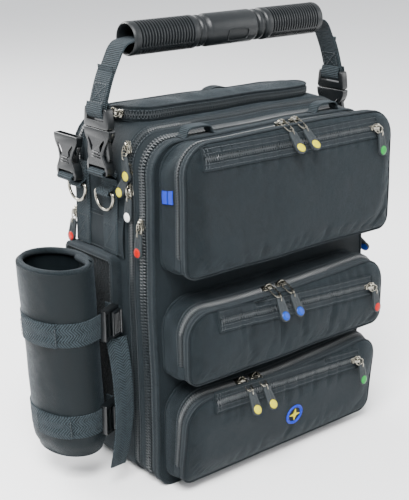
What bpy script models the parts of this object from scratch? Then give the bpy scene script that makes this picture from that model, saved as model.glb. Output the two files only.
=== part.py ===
"""Soft flight bag: rear module, centre band, front module with three pockets, handle and bottle sleeve.

Metres, +Z up, +Y towards the rear of the bag. The origin is on the base, under the rear module.
"""

import math

import bmesh
import bpy
from mathutils import Matrix, Vector

GAP = 0.0003  # clearance between pieces that touch

# Main body: a rounded box 270 wide and 345 tall, split into modules by planes along Y
WIDTH = 0.270
HEIGHT = 0.345
HALF = WIDTH / 2
TOP_RADIUS = 0.030
BASE_RADIUS = 0.020
SHELL_WALL = 0.004
FRONT_Y = -0.0425
HEAVY_ZIP_Y = -0.0270
FINE_ZIP_Y = -0.0095
REAR_ZIP_Y = 0.0730
REAR_Y = 0.0825
REAR_PANEL_BASE = 0.006  # the panel's hinge line, its lowest front edge

# Front pockets: each has a gusset shell on the front module and a lid that hinges at its base
POCKET_HALF = 0.128
POCKET_RADIUS = 0.028
POCKET_WALL = 0.0025
LID_DEPTH = 0.0125
LID_DROP = 0.006
POCKETS = {
    # name: (base z, top z, depth in front of the front module, depth kept at the base)
    "upper": (0.220, 0.343, 0.0405, 1.0),
    "middle": (0.117, 0.190, 0.0395, 1.0),
    "lower": (0.012, 0.104, 0.0380, 0.70),
}

# Top compartment lid
TOP_LID_X = (-0.116, 0.110)
TOP_LID_Y = (0.0055, 0.0695)
TOP_LID_RISE = 0.0155
TOP_MOUTH_X = (-0.104, 0.098)
TOP_MOUTH_Y = (0.0165, 0.0585)

# Carrying handle
HANDLE_Y = 0.0175
GRIP_Z = 0.421
GRIP_HALF = 0.118
GRIP_RADIUS = 0.0155
GRIP_BORE = 0.0130
STRAP_HALF_WIDTH = 0.012
STRAP_THICK = 0.0016
BUCKLE_X = 0.1496
BUCKLE_THICK = 0.008
BUCKLE_BASE_Z = 0.303
BUCKLE_TOP_Z = 0.345

# Spare buckle halves and D-rings on each side
SPARE_Y = 0.0690
SPARE_DROP = 0.014
RING_X = 0.1437
RING_Z = 0.2840
RING_HALF = 0.0145
RING_DROP = 0.0175
RING_WIRE = 0.0013
RING_YS = {"front": 0.0215, "rear": 0.0660}
PATCH_THICK = 0.003

# Bottle sleeve: an oval cup that leans away from the bag's left side
SLEEVE_BASE = Vector((-0.178, 0.0435, 0.026))
SLEEVE_TOP = Vector((-0.196, 0.0295, 0.226))
SLEEVE_A = 0.031
SLEEVE_B = 0.040
SLEEVE_WALL = 0.004
PANEL_THICK = 0.011
PANEL_Y = (0.010, 0.088)
PANEL_Z = (0.050, 0.222)
SLEEVE_STRAPS = {"upper": 0.165, "lower": 0.068}
SLEEVE_STRAP_HALF = 0.012
LEG_ANGLE = math.radians(21)
CAM_LENGTH = 0.022
CAM_HEIGHT = 0.031
CAM_THICK = 0.0080
CAM_SHIFT = 0.0027  # the frame sits this far outside the strap it carries

# Zip sliders and their pull tabs
SLIDER_WIDTH = 0.0076
SLIDER_THICK = 0.0034
SLIDER_LENGTH = 0.0110
PULL_WIDTH = 0.0095
PULL_LENGTH = 0.031
PULL_THICK = 0.0026
PULL_HANG = math.radians(20)
PULL_STANDOFF = 0.0055
PULL_DROP = 0.0016
SLASH_RISE = 0.004

NYLON = ("black_nylon", (0.030, 0.034, 0.040), 0.75, 0.0)
WEBBING = ("webbing", (0.050, 0.055, 0.062), 0.8, 0.0)
NEOPRENE = ("neoprene", (0.022, 0.028, 0.034), 0.7, 0.0)
PLASTIC = ("moulded_plastic", (0.020, 0.021, 0.024), 0.35, 0.0)
GRIP_RUBBER = ("grip_rubber", (0.035, 0.037, 0.040), 0.5, 0.0)
PULL_RUBBER = ("pull_rubber", (0.085, 0.090, 0.100), 0.55, 0.0)
NICKEL = ("nickel", (0.72, 0.69, 0.63), 0.25, 1.0)


def clear_scene():
    for item in list(bpy.data.objects):
        bpy.data.objects.remove(item, do_unlink=True)


def material(spec):
    name, colour, roughness, metallic = spec
    made = bpy.data.materials.get(name)
    if made:
        return made
    made = bpy.data.materials.new(name)
    made.use_nodes = True
    shader = made.node_tree.nodes["Principled BSDF"]
    shader.inputs["Base Color"].default_value = (*colour, 1.0)
    shader.inputs["Roughness"].default_value = roughness
    shader.inputs["Metallic"].default_value = metallic
    return made


def add(name, bm, spec=None):
    """Makes one object from a bmesh. Without a material it is a hidden cutter."""
    bmesh.ops.remove_doubles(bm, verts=bm.verts, dist=1e-6)
    bmesh.ops.recalc_face_normals(bm, faces=bm.faces)
    mesh = bpy.data.meshes.new(name)
    bm.to_mesh(mesh)
    bm.free()
    made = bpy.data.objects.new(name, mesh)
    bpy.context.scene.collection.objects.link(made)
    if spec:
        mesh.materials.append(material(spec))
        mesh.shade_smooth()
        mesh.set_sharp_from_angle(angle=math.radians(35))
    else:
        made.hide_render = True
        made.display_type = "WIRE"
    return made


def combine(target, cutter, operation="DIFFERENCE"):
    step = target.modifiers.new(operation.lower(), "BOOLEAN")
    step.operation = operation
    step.solver = "EXACT"
    step.object = cutter


def oval_corner_rect(low, high, base_radius, top_radius, steps=4):
    """Corner-rounded rectangle as (u, v) points, anticlockwise from the lower right corner."""
    corners = (
        (high[0], low[1], -1, 1, base_radius, 270),
        (high[0], high[1], -1, -1, top_radius, 0),
        (low[0], high[1], 1, -1, top_radius, 90),
        (low[0], low[1], 1, 1, base_radius, 180),
    )
    points = []
    for u, v, in_u, in_v, radius, start in corners:
        centre = (u + in_u * radius, v + in_v * radius)
        for step in range(steps + 1):
            turn = math.radians(start + 90 * step / steps)
            points.append((centre[0] + radius * math.cos(turn), centre[1] + radius * math.sin(turn)))
    return points


def outline_face(bm, outline, place):
    return bm.faces.new([bm.verts.new(place(u, v)) for u, v in outline])


def upright(y):
    """Places an outline in a plane that faces front and rear."""
    return lambda u, v: (u, y, v)


def level(z):
    return lambda u, v: (u, v, z)


def sideways(x):
    return lambda u, v: (x, u, v)


def sweep_face(bm, face, move):
    """Extrudes one face by a vector and returns the far face."""
    swept = bmesh.ops.extrude_face_region(bm, geom=[face])
    verts = [item for item in swept["geom"] if isinstance(item, bmesh.types.BMVert)]
    bmesh.ops.translate(bm, verts=verts, vec=move)
    return next(item for item in swept["geom"] if isinstance(item, bmesh.types.BMFace))


def prism(outline, place, move):
    bm = bmesh.new()
    sweep_face(bm, outline_face(bm, outline, place), Vector(move))
    return bm


def tray(outline, place, move, wall, floor):
    """An open box: the outline swept along move, then hollowed from its far end."""
    bm = bmesh.new()
    rim = sweep_face(bm, outline_face(bm, outline, place), Vector(move))
    bm.normal_update()
    bmesh.ops.inset_region(bm, faces=[rim], thickness=wall, use_even_offset=True)
    depth = Vector(move) * (floor / Vector(move).length - 1)
    inner = bmesh.ops.extrude_discrete_faces(bm, faces=[rim])["faces"][0]
    bmesh.ops.translate(bm, verts=inner.verts, vec=depth)
    return bm


def ring(outline, place, move, wall):
    bm = bmesh.new()
    face = outline_face(bm, outline, place)
    bm.normal_update()
    bmesh.ops.inset_region(bm, faces=[face], thickness=wall, use_even_offset=True, use_boundary=True)
    bmesh.ops.delete(bm, geom=[face], context="FACES_ONLY")
    swept = bmesh.ops.extrude_face_region(bm, geom=list(bm.faces))
    verts = [item for item in swept["geom"] if isinstance(item, bmesh.types.BMVert)]
    bmesh.ops.translate(bm, verts=verts, vec=Vector(move))
    return bm


def block(centre, size, turn=0.0):
    """A box by its centre and size, turned about the vertical."""
    bm = bmesh.new()
    bmesh.ops.create_cube(bm, size=1.0)
    bmesh.ops.scale(bm, verts=bm.verts, vec=size)
    bmesh.ops.rotate(bm, verts=bm.verts, cent=(0, 0, 0), matrix=Matrix.Rotation(turn, 3, "Z"))
    bmesh.ops.translate(bm, verts=bm.verts, vec=centre)
    return bm


def ribbon(name, first_edge, second_edge, thickness, spec):
    """Flat webbing between two matching rows of points, given its thickness by Solidify."""
    bm = bmesh.new()
    rows = [[bm.verts.new(point) for point in edge] for edge in (first_edge, second_edge)]
    for index in range(len(first_edge) - 1):
        bm.faces.new((rows[0][index], rows[0][index + 1], rows[1][index + 1], rows[1][index]))
    made = add(name, bm, spec)
    wall = made.modifiers.new("thickness", "SOLIDIFY")
    wall.thickness = thickness
    wall.offset = 0.0
    wall.use_even_offset = True
    return made


def body_outline():
    return oval_corner_rect((-HALF, 0.0), (HALF, HEIGHT), BASE_RADIUS, TOP_RADIUS)


def make_rear_module():
    outline = body_outline()
    length = REAR_ZIP_Y - FINE_ZIP_Y - GAP
    shell = add(
        "rear_shell",
        tray(outline, upright(REAR_ZIP_Y - GAP), (0, -length + GAP, 0), SHELL_WALL, SHELL_WALL),
        NYLON,
    )
    mouth = oval_corner_rect(
        (TOP_MOUTH_X[0], TOP_MOUTH_Y[0]), (TOP_MOUTH_X[1], TOP_MOUTH_Y[1]), 0.015, 0.015
    )
    cutter = add("top_mouth_cutter", prism(mouth, level(HEIGHT - 3 * SHELL_WALL), (0, 0, 4 * SHELL_WALL)))
    combine(shell, cutter)

    edge = 0.001
    panel = oval_corner_rect(
        (-HALF + edge, REAR_PANEL_BASE), (HALF - edge, HEIGHT - edge), BASE_RADIUS - edge, TOP_RADIUS - edge
    )
    add("rear_panel", prism(panel, upright(REAR_ZIP_Y), (0, REAR_Y - REAR_ZIP_Y, 0)), NYLON)

    lid = oval_corner_rect((TOP_LID_X[0], TOP_LID_Y[0]), (TOP_LID_X[1], TOP_LID_Y[1]), 0.022, 0.022)
    add(
        "top_lid",
        tray(lid, level(HEIGHT + TOP_LID_RISE), (0, 0, GAP - TOP_LID_RISE), 0.003, 0.003),
        NYLON,
    )


def make_centre_band():
    depth = FINE_ZIP_Y - HEAVY_ZIP_Y - GAP
    add("centre_band", ring(body_outline(), upright(HEAVY_ZIP_Y), (0, depth, 0), SHELL_WALL), NYLON)


def make_front_module():
    depth = HEAVY_ZIP_Y - GAP - FRONT_Y
    add(
        "front_shell",
        tray(body_outline(), upright(FRONT_Y), (0, depth, 0), SHELL_WALL, SHELL_WALL),
        NYLON,
    )
    for side, centre in (("left", -0.081), ("right", 0.083)):
        half, rise, low = 0.0165, 0.0085, HEIGHT + GAP + STRAP_THICK / 2
        path = [
            (centre - half, low),
            (centre - half + 0.003, low + 0.7 * rise),
            (centre - half + 0.007, low + rise),
            (centre + half - 0.007, low + rise),
            (centre + half - 0.003, low + 0.7 * rise),
            (centre + half, low),
        ]
        edges = [[(x, y, z) for x, z in path] for y in (FRONT_Y + 0.0015, HEAVY_ZIP_Y - 0.0020)]
        ribbon(f"top_loop_{side}", *edges, STRAP_THICK, WEBBING)


def pocket_planes(name):
    """The pocket's gusset front, its lid's back and its front face, along Y."""
    depth = POCKETS[name][2]
    front = FRONT_Y - depth
    split = front + LID_DEPTH
    return split + GAP, split, front


def taper(bm, name):
    """Thins a pocket towards its base, keeping its back flat on the front module."""
    base, top, _depth, kept = POCKETS[name]
    for vert in bm.verts:
        share = kept + (1 - kept) * min(max((vert.co.z - base) / (top - base), 0), 1)
        vert.co.y = FRONT_Y + (vert.co.y - FRONT_Y) * share


def make_pocket(name):
    base, top, _depth, _kept = POCKETS[name]
    gusset, split, front = pocket_planes(name)
    outline = oval_corner_rect((-POCKET_HALF, base), (POCKET_HALF, top), 0.012, POCKET_RADIUS)
    shell = tray(
        outline, upright(FRONT_Y - GAP), (0, gusset - FRONT_Y + GAP, 0), POCKET_WALL, POCKET_WALL
    )
    taper(shell, name)
    add(f"{name}_pocket_shell", shell, NYLON)
    outline = oval_corner_rect(
        (-POCKET_HALF, base), (POCKET_HALF, top - LID_DROP), 0.012, POCKET_RADIUS - LID_DROP / 2
    )
    lid = tray(outline, upright(front), (0, split - front, 0), POCKET_WALL, POCKET_WALL)
    taper(lid, name)
    add(f"{name}_pocket_lid", lid, NYLON)


def turned_tube(profile, sides=20):
    """Turns a closed (along, radius) profile about a line parallel to X."""
    bm = bmesh.new()
    verts = [bm.verts.new((along, 0, radius)) for along, radius in profile]
    edges = [bm.edges.new((verts[i], verts[(i + 1) % len(verts)])) for i in range(len(verts))]
    bmesh.ops.spin(
        bm, geom=verts + edges, cent=(0, 0, 0), axis=(1, 0, 0), angle=2 * math.pi, steps=sides,
        use_merge=True,
    )
    return bm


def make_handle():
    neck, barrel, dip = 0.040, 0.031, 0.0135
    outer = [
        (-GRIP_HALF, GRIP_RADIUS), (-neck - 0.005, GRIP_RADIUS), (-neck, dip), (-barrel, dip),
        (-barrel + 0.003, GRIP_RADIUS), (barrel - 0.003, GRIP_RADIUS), (barrel, dip), (neck, dip),
        (neck + 0.005, GRIP_RADIUS), (GRIP_HALF, GRIP_RADIUS),
    ]
    profile = outer + [(GRIP_HALF, GRIP_BORE), (-GRIP_HALF, GRIP_BORE)]
    grip = turned_tube(profile)
    bmesh.ops.translate(grip, verts=grip.verts, vec=(0, HANDLE_Y, GRIP_Z))
    add("handle_grip", grip, GRIP_RUBBER)

    side = [
        (BUCKLE_X, 0.3645), (0.1462, 0.374), (0.1390, 0.392), (0.1325, 0.408), (0.1265, 0.417),
        (0.1185, 0.4208), (0.060, 0.4210),
    ]
    path = [(-x, z) for x, z in side] + [(x, z) for x, z in reversed(side)]
    edges = [[(x, HANDLE_Y + shift, z) for x, z in path] for shift in (-STRAP_HALF_WIDTH, STRAP_HALF_WIDTH)]
    ribbon("handle_strap", *edges, STRAP_THICK, WEBBING)

    for name, side_sign in (("left", -1), ("right", 1)):
        make_male_buckle(f"handle_buckle_male_{name}", side_sign * BUCKLE_X, HANDLE_Y, BUCKLE_TOP_Z)
        make_female_buckle(f"handle_buckle_female_{name}", side_sign * BUCKLE_X, HANDLE_Y, BUCKLE_BASE_Z)


def make_male_buckle(name, x, y, seat):
    """Head with a webbing bar, two side prongs and a centre guide, as one moulding."""
    head_half, head_rise, prong_drop, blade = 0.0155, 0.0185, 0.027, 0.0034
    outline = [
        (y - 0.0150, seat - prong_drop), (y - 0.0100, seat - prong_drop), (y - 0.0100, seat + GAP + 0.001),
        (y - 0.0030, seat + GAP + 0.001), (y - 0.0030, seat - prong_drop + 0.003),
        (y + 0.0030, seat - prong_drop + 0.003), (y + 0.0030, seat + GAP + 0.001),
        (y + 0.0100, seat + GAP + 0.001), (y + 0.0100, seat - prong_drop), (y + 0.0150, seat - prong_drop),
        (y + 0.0150, seat + 0.003), (y + head_half, seat + 0.006), (y + head_half, seat + head_rise),
        (y - head_half, seat + head_rise), (y - head_half, seat + 0.006), (y - 0.0150, seat + 0.003),
    ]
    male = add(name, prism(outline, sideways(x - blade / 2), (blade, 0, 0)), PLASTIC)
    head = block((x, y, seat + 0.0115), (0.0072, 0.034, 0.0130))
    combine(male, add(f"{name}_head", head), "UNION")
    slot = block((x, y, seat + 0.0130), (0.012, 0.0262, 0.0040))
    combine(male, add(f"{name}_slot", slot))
    bar = block((x, y, seat + 0.0185), (0.0040, 0.0262, 0.0060))
    combine(male, add(f"{name}_strap_cut", bar))


def make_female_buckle(name, x, y, base):
    """Socket body with side windows for the prongs and a webbing slot at the foot."""
    height = BUCKLE_TOP_Z - BUCKLE_BASE_Z
    outline = [
        (y - 0.0145, base), (y + 0.0145, base), (y + 0.0195, base + 0.013), (y + 0.0185, base + height),
        (y - 0.0185, base + height), (y - 0.0195, base + 0.013),
    ]
    female = add(name, prism(outline, sideways(x - BUCKLE_THICK / 2), (BUCKLE_THICK, 0, 0)), PLASTIC)
    socket = block((x, y, base + height - 0.014), (0.0046, 0.0312, 0.0300))
    combine(female, add(f"{name}_socket", socket))
    for side in (-1, 1):
        window = block((x, y + side * 0.0175, base + 0.0225), (0.020, 0.0090, 0.0150))
        combine(female, add(f"{name}_window_{'rear' if side > 0 else 'front'}", window))
    foot = block((x, y, base + 0.0048), (0.020, 0.0250, 0.0042))
    combine(female, add(f"{name}_foot_slot", foot))


def make_side_fittings():
    for side, sign in (("left", -1), ("right", 1)):
        inner = sign * (HALF + GAP)
        outline = [(0.002, 0.222), (0.0712, 0.222), (0.0712, 0.262)]
        for ring_y in (RING_YS["rear"], RING_YS["front"]):
            outline += [(ring_y + 0.0115, 0.262), (ring_y + 0.0115, 0.299), (ring_y - 0.0115, 0.299)]
            outline += [(ring_y - 0.0115, 0.262)]
        outline += [(0.002, 0.258)]
        add(
            f"side_webbing_{side}",
            prism(outline, sideways(inner), (sign * PATCH_THICK, 0, 0)),
            WEBBING,
        )
        make_female_buckle(
            f"spare_buckle_female_{side}", sign * BUCKLE_X, SPARE_Y, BUCKLE_BASE_Z - SPARE_DROP
        )
        for place, ring_y in RING_YS.items():
            make_d_ring(f"d_ring_{place}_{side}", sign * RING_X, ring_y)


def make_d_ring(name, x, y, steps=10):
    """Bent wire ring: a straight bar on top and a half oval hanging from it."""
    path = [(y + RING_HALF, RING_Z)]
    path += [(y + RING_HALF * k, RING_Z) for k in (0.3, -0.3)]
    for step in range(steps + 1):
        turn = math.pi * (1 + step / steps)
        path.append((y + RING_HALF * math.cos(turn), RING_Z - 0.002 + (RING_DROP - 0.002) * math.sin(turn)))
    curve = bpy.data.curves.new(name, "CURVE")
    curve.dimensions = "3D"
    curve.bevel_depth = RING_WIRE
    curve.bevel_resolution = 1
    spline = curve.splines.new("POLY")
    spline.points.add(len(path) - 1)
    for point, (along, up) in zip(spline.points, path):
        point.co = (x, along, up, 1.0)
    spline.use_cyclic_u = True
    curve.materials.append(material(NICKEL))
    made = bpy.data.objects.new(name, curve)
    bpy.context.scene.collection.objects.link(made)


def sleeve_centre(z):
    share = (z - SLEEVE_BASE.z) / (SLEEVE_TOP.z - SLEEVE_BASE.z)
    return SLEEVE_BASE.lerp(SLEEVE_TOP, share)


def make_bottle_sleeve(sides=28):
    """Cup with an oval section: outer wall up, rim, inner wall down to a closed floor."""
    levels = [
        (SLEEVE_BASE.z - 0.003, 0.010), (SLEEVE_BASE.z, 0.0), (SLEEVE_TOP.z, 0.0),
        (SLEEVE_TOP.z, SLEEVE_WALL), (SLEEVE_BASE.z + SLEEVE_WALL, SLEEVE_WALL),
    ]
    bm = bmesh.new()
    loops = []
    for z, inset in levels:
        made = bmesh.ops.create_circle(bm, cap_ends=False, segments=sides, radius=1.0)["verts"]
        bmesh.ops.scale(bm, verts=made, vec=(SLEEVE_A - inset, SLEEVE_B - inset, 1))
        bmesh.ops.translate(bm, verts=made, vec=sleeve_centre(z))
        loops.append(made)
    for lower, upper in zip(loops, loops[1:]):
        for index in range(sides):
            after = (index + 1) % sides
            bm.faces.new((lower[index], lower[after], upper[after], upper[index]))
    bm.faces.new(list(reversed(loops[0])))
    bm.faces.new(loops[-1])
    add("bottle_sleeve", bm, NEOPRENE)

    panel_x = -HALF - GAP
    outline = oval_corner_rect((PANEL_Y[0], PANEL_Z[0]), (PANEL_Y[1], PANEL_Z[1]), 0.006, 0.006, 2)
    add("sleeve_panel", prism(outline, sideways(panel_x), (-PANEL_THICK, 0, 0)), NEOPRENE)


def strap_points(z):
    """Plan route of a sleeve strap: panel, round the back and outside, then a straight leg forward."""
    centre = sleeve_centre(z)
    reach_a, reach_b = SLEEVE_A + 0.0016, SLEEVE_B + 0.0016
    panel_x = -HALF - GAP - PANEL_THICK - 0.0012
    leave = 2 * math.pi - math.atan2(reach_b, reach_a * math.tan(LEG_ANGLE))
    start = math.radians(58)
    points = [(panel_x, 0.058), (panel_x, 0.066)]
    steps = 16
    for step in range(steps + 1):
        turn = start + (leave - start) * step / steps
        points.append((centre.x + reach_a * math.cos(turn), centre.y + reach_b * math.sin(turn)))
    last = points[-1]
    run = panel_x - last[0]
    points.append((panel_x, last[1] + run * math.tan(LEG_ANGLE)))
    points.append((panel_x, points[-1][1] + 0.014))
    return points


def leg_frame(z):
    """Where a cam buckle sits on the straight leg of a sleeve strap, at height z."""
    first, last = (Vector((*point, z)) for point in strap_points(z)[-3:-1])
    return last + (first - last).normalized() * (CAM_LENGTH / 2 + 0.0025)


def make_sleeve_straps():
    for name, z in SLEEVE_STRAPS.items():
        edges = [
            [(x, y, height) for x, y in strap_points(height)]
            for height in (z - SLEEVE_STRAP_HALF, z + SLEEVE_STRAP_HALF)
        ]
        ribbon(f"sleeve_strap_{name}", *edges, STRAP_THICK, WEBBING)
        centre = leg_frame(z)
        along = Vector((math.cos(LEG_ANGLE), math.sin(LEG_ANGLE), 0))
        outward = Vector((math.sin(LEG_ANGLE), -math.cos(LEG_ANGLE), 0))
        middle = centre + outward * CAM_SHIFT
        size = (CAM_LENGTH, CAM_THICK, CAM_HEIGHT)
        frame = add(f"cam_buckle_{name}", block(middle, size, LEG_ANGLE), PLASTIC)
        slot = block(centre, (CAM_LENGTH * 2, 0.0034, 0.0256), LEG_ANGLE)
        combine(frame, add(f"cam_slot_{name}", slot))
        window = block(centre + outward * 0.005 - along * 0.0060, (0.0060, 0.0090, 0.0230), LEG_ANGLE)
        combine(frame, add(f"cam_window_{name}", window))
        lever = middle + outward * (CAM_THICK / 2 + GAP + 0.0014) + along * 0.0040
        add(f"cam_lever_{name}", block(lever, (0.0130, 0.0028, 0.0240), LEG_ANGLE), PLASTIC)

    middle = [
        (-0.1520, -0.0010, 0.148), (-0.1525, -0.0070, 0.130), (-0.1540, -0.0130, 0.105),
        (-0.1560, -0.0165, 0.075), (-0.1595, -0.0165, 0.048), (-0.1635, -0.0140, 0.024),
    ]
    edges = [[(x + shift, y, z) for x, y, z in middle] for shift in (-0.0105, 0.0105)]
    ribbon("strap_tail", *edges, STRAP_THICK, WEBBING)


def pull_outline(width, length):
    """A tab hanging from its top edge, with a round lower end."""
    half = width / 2
    points = [(half, 0.0), (-half, 0.0)]
    for step in range(7):
        turn = math.pi * (1 + step / 6)
        points.append((half * math.cos(turn), half - length + half * math.sin(turn)))
    return points


def make_pull(name, hinge, across, lean, spec=PULL_RUBBER):
    """A pull tab from its hinge point: across is its width's direction, lean its tilt off vertical."""
    bm = prism(pull_outline(PULL_WIDTH, PULL_LENGTH), upright(-PULL_THICK / 2), (0, PULL_THICK, 0))
    bmesh.ops.rotate(bm, verts=bm.verts, cent=(0, 0, 0), matrix=Matrix.Rotation(-lean, 3, "X"))
    bmesh.ops.rotate(bm, verts=bm.verts, cent=(0, 0, 0), matrix=Matrix.Rotation(across, 3, "Z"))
    bmesh.ops.translate(bm, verts=bm.verts, vec=hinge)
    add(name, bm, spec)


def make_front_zip_sliders():
    """Two main sliders on top of each pocket lid, and one slider on its slash zip."""
    main_x = {"upper": (-0.0130, 0.0040), "middle": (-0.0240, -0.0070), "lower": (-0.0570, -0.0385)}
    slash_z = {"upper": 0.3300, "middle": 0.1660, "lower": 0.0800}
    for name, places in main_x.items():
        _base, top, _depth, _kept = POCKETS[name]
        _gusset, _split, front = pocket_planes(name)
        lid_top = top - LID_DROP
        for side, x in zip(("left", "right"), places):
            centre = (x, front + 0.0030, lid_top + GAP + 0.0017)
            add(f"{name}_zip_slider_{side}", block(centre, (SLIDER_WIDTH, 0.0150, 0.0034)), NICKEL)
            hinge = (x, front - PULL_STANDOFF, lid_top + GAP - 0.0008)
            make_pull(f"{name}_zip_pull_{side}", hinge, 0.0, PULL_HANG)
        make_slash_slider(name, 0.1035, slash_z[name], front)


def make_slash_slider(name, x, z, front):
    """Slider and hanging pull of a slash zip, on the lid's front face."""
    base, top, _depth, kept = POCKETS[name]
    share = kept + (1 - kept) * (z + SLASH_RISE - base) / (top - base)
    face = FRONT_Y + (front - FRONT_Y) * share
    outline = [(x + u, z + SLASH_RISE + v) for u, v in pull_outline(PULL_WIDTH, PULL_LENGTH + SLASH_RISE)]
    add(f"{name}_slash_slider", prism(outline, upright(face - GAP), (0, -PULL_THICK, 0)), PULL_RUBBER)


def make_side_zip_sliders():
    """Sliders on the zips round the modules, each with its pull hanging on the bag's side."""
    heavy = HEAVY_ZIP_Y - 0.0015
    make_side_slider("fine_zip_slider_lead", -1, FINE_ZIP_Y, 0.3330)
    make_side_pull("fine_zip_pull_lead", -1, FINE_ZIP_Y, 0.3290, 0.0080, math.radians(-8))
    make_slider_with_pull("fine_zip_slider_second", -1, FINE_ZIP_Y, 0.3120, 0.0050, math.radians(33))
    make_slider_with_pull("fine_zip_slider_third", -1, FINE_ZIP_Y - 0.0005, 0.2920, 0.0021, 0.0)
    make_side_slider("heavy_zip_slider_left", -1, heavy, 0.2620)
    make_side_pull("heavy_zip_pull_left", -1, heavy, 0.2565, 0.0021, 0.0)
    make_slider_with_pull("heavy_zip_slider_right", 1, heavy, 0.2040, 0.0021, 0.0)
    make_slider_with_pull("rear_zip_slider", -1, REAR_ZIP_Y + 0.0100, 0.2520, 0.0021, 0.0)


def make_side_slider(name, sign, y, z, thick=SLIDER_THICK):
    """A slider that rides just outside the bag's side."""
    centre = (sign * (HALF + GAP + thick / 2), y, z)
    return add(name, block(centre, (thick, SLIDER_WIDTH, SLIDER_LENGTH)), NICKEL)


def side_pull(sign, y, z, layer, tilt):
    """A pull tab in the plane of the bag's side, its middle plane at layer outside the side."""
    bm = prism(pull_outline(PULL_WIDTH, PULL_LENGTH), sideways(-PULL_THICK / 2), (PULL_THICK, 0, 0))
    bmesh.ops.rotate(bm, verts=bm.verts, cent=(0, 0, 0), matrix=Matrix.Rotation(tilt, 3, "X"))
    bmesh.ops.translate(bm, verts=bm.verts, vec=(sign * (HALF + GAP + layer), y, z))
    return bm


def make_side_pull(name, sign, y, z, layer, tilt):
    add(name, side_pull(sign, y, z - PULL_DROP, layer, tilt), PULL_RUBBER)


def make_slider_with_pull(name, sign, y, z, layer, tilt):
    """A slider whose pull hangs as one piece with it, on its outer face."""
    made = make_side_slider(name, sign, y, z, layer - PULL_THICK / 2 + 0.0003 if tilt else SLIDER_THICK)
    tab = add(f"{name}_tab", side_pull(sign, y, z + 0.001, layer, tilt))
    combine(made, tab, "UNION")


def make_top_lid_slider():
    centre = (TOP_LID_X[0] - 0.0022, TOP_LID_Y[0] + 0.0300, HEIGHT + 0.0060)
    add("top_zip_slider", block(centre, (0.0034, 0.0300, 0.0085)), NICKEL)


def main():
    clear_scene()
    make_rear_module()
    make_centre_band()
    make_front_module()
    for name in POCKETS:
        make_pocket(name)
    make_handle()
    make_side_fittings()
    make_bottle_sleeve()
    make_sleeve_straps()
    make_front_zip_sliders()
    make_side_zip_sliders()
    make_top_lid_slider()


main()
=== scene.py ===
"""Soft flight bag with a ribbed grip and a bottle sleeve: every visible piece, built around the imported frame."""

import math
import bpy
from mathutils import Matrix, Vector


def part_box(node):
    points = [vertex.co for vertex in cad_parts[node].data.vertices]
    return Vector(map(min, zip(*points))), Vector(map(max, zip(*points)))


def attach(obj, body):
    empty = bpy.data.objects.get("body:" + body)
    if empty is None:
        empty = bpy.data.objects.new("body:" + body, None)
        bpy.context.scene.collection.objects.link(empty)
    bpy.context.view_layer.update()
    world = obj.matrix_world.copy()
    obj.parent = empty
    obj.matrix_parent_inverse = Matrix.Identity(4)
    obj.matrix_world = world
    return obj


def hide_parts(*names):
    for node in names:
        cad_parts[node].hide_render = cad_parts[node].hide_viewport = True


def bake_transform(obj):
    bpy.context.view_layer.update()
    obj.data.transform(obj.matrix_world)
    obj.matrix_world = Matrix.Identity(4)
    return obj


bl_info = {
    "name": "Flight Bag",
    "version": (1, 0, 0),
    "blender": (4, 5, 0),
    "location": "View3D > Sidebar > Flight Bag",
    "description": "Builds a soft flight bag: cloth modules, pockets, zips, grip, buckles and sleeve",
    "category": "Object",
}

import bmesh
import bpy
from bpy.props import FloatProperty, FloatVectorProperty, IntProperty, PointerProperty
from mathutils import Matrix, Vector, noise
from mathutils.bvhtree import BVHTree

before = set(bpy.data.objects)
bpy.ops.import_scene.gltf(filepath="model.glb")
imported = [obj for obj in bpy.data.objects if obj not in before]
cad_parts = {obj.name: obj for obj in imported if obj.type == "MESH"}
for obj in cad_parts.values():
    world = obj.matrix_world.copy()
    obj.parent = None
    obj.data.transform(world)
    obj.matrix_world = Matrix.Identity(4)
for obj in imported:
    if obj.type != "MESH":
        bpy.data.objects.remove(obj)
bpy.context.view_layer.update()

# Places that the frame gives, in metres: +Y is the bag's rear, +X its right side
SHELL_LOW, SHELL_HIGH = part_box("rear_shell")
BAND_LOW, BAND_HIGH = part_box("centre_band")
FRONT_LOW, FRONT_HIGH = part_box("front_shell")
PANEL_LOW, PANEL_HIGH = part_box("rear_panel")
GRIP_LOW, GRIP_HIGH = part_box("handle_grip")
HALF = SHELL_HIGH.x
HEIGHT = SHELL_HIGH.z
FRONT_Y = FRONT_LOW.y
HEAVY_ZIP_Y = BAND_LOW.y
FINE_ZIP_Y = SHELL_LOW.y
REAR_ZIP_Y = PANEL_LOW.y
REAR_Y = PANEL_HIGH.y
BASE_RADIUS = 0.020
TOP_RADIUS = 0.030
POCKETS = ("upper", "middle", "lower")
SIDES = (("left", -1), ("right", 1))
X_AXIS, Y_AXIS, Z_AXIS = Vector((1, 0, 0)), Vector((0, 1, 0)), Vector((0, 0, 1))


# ---------------------------------------------------------------- properties


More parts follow.
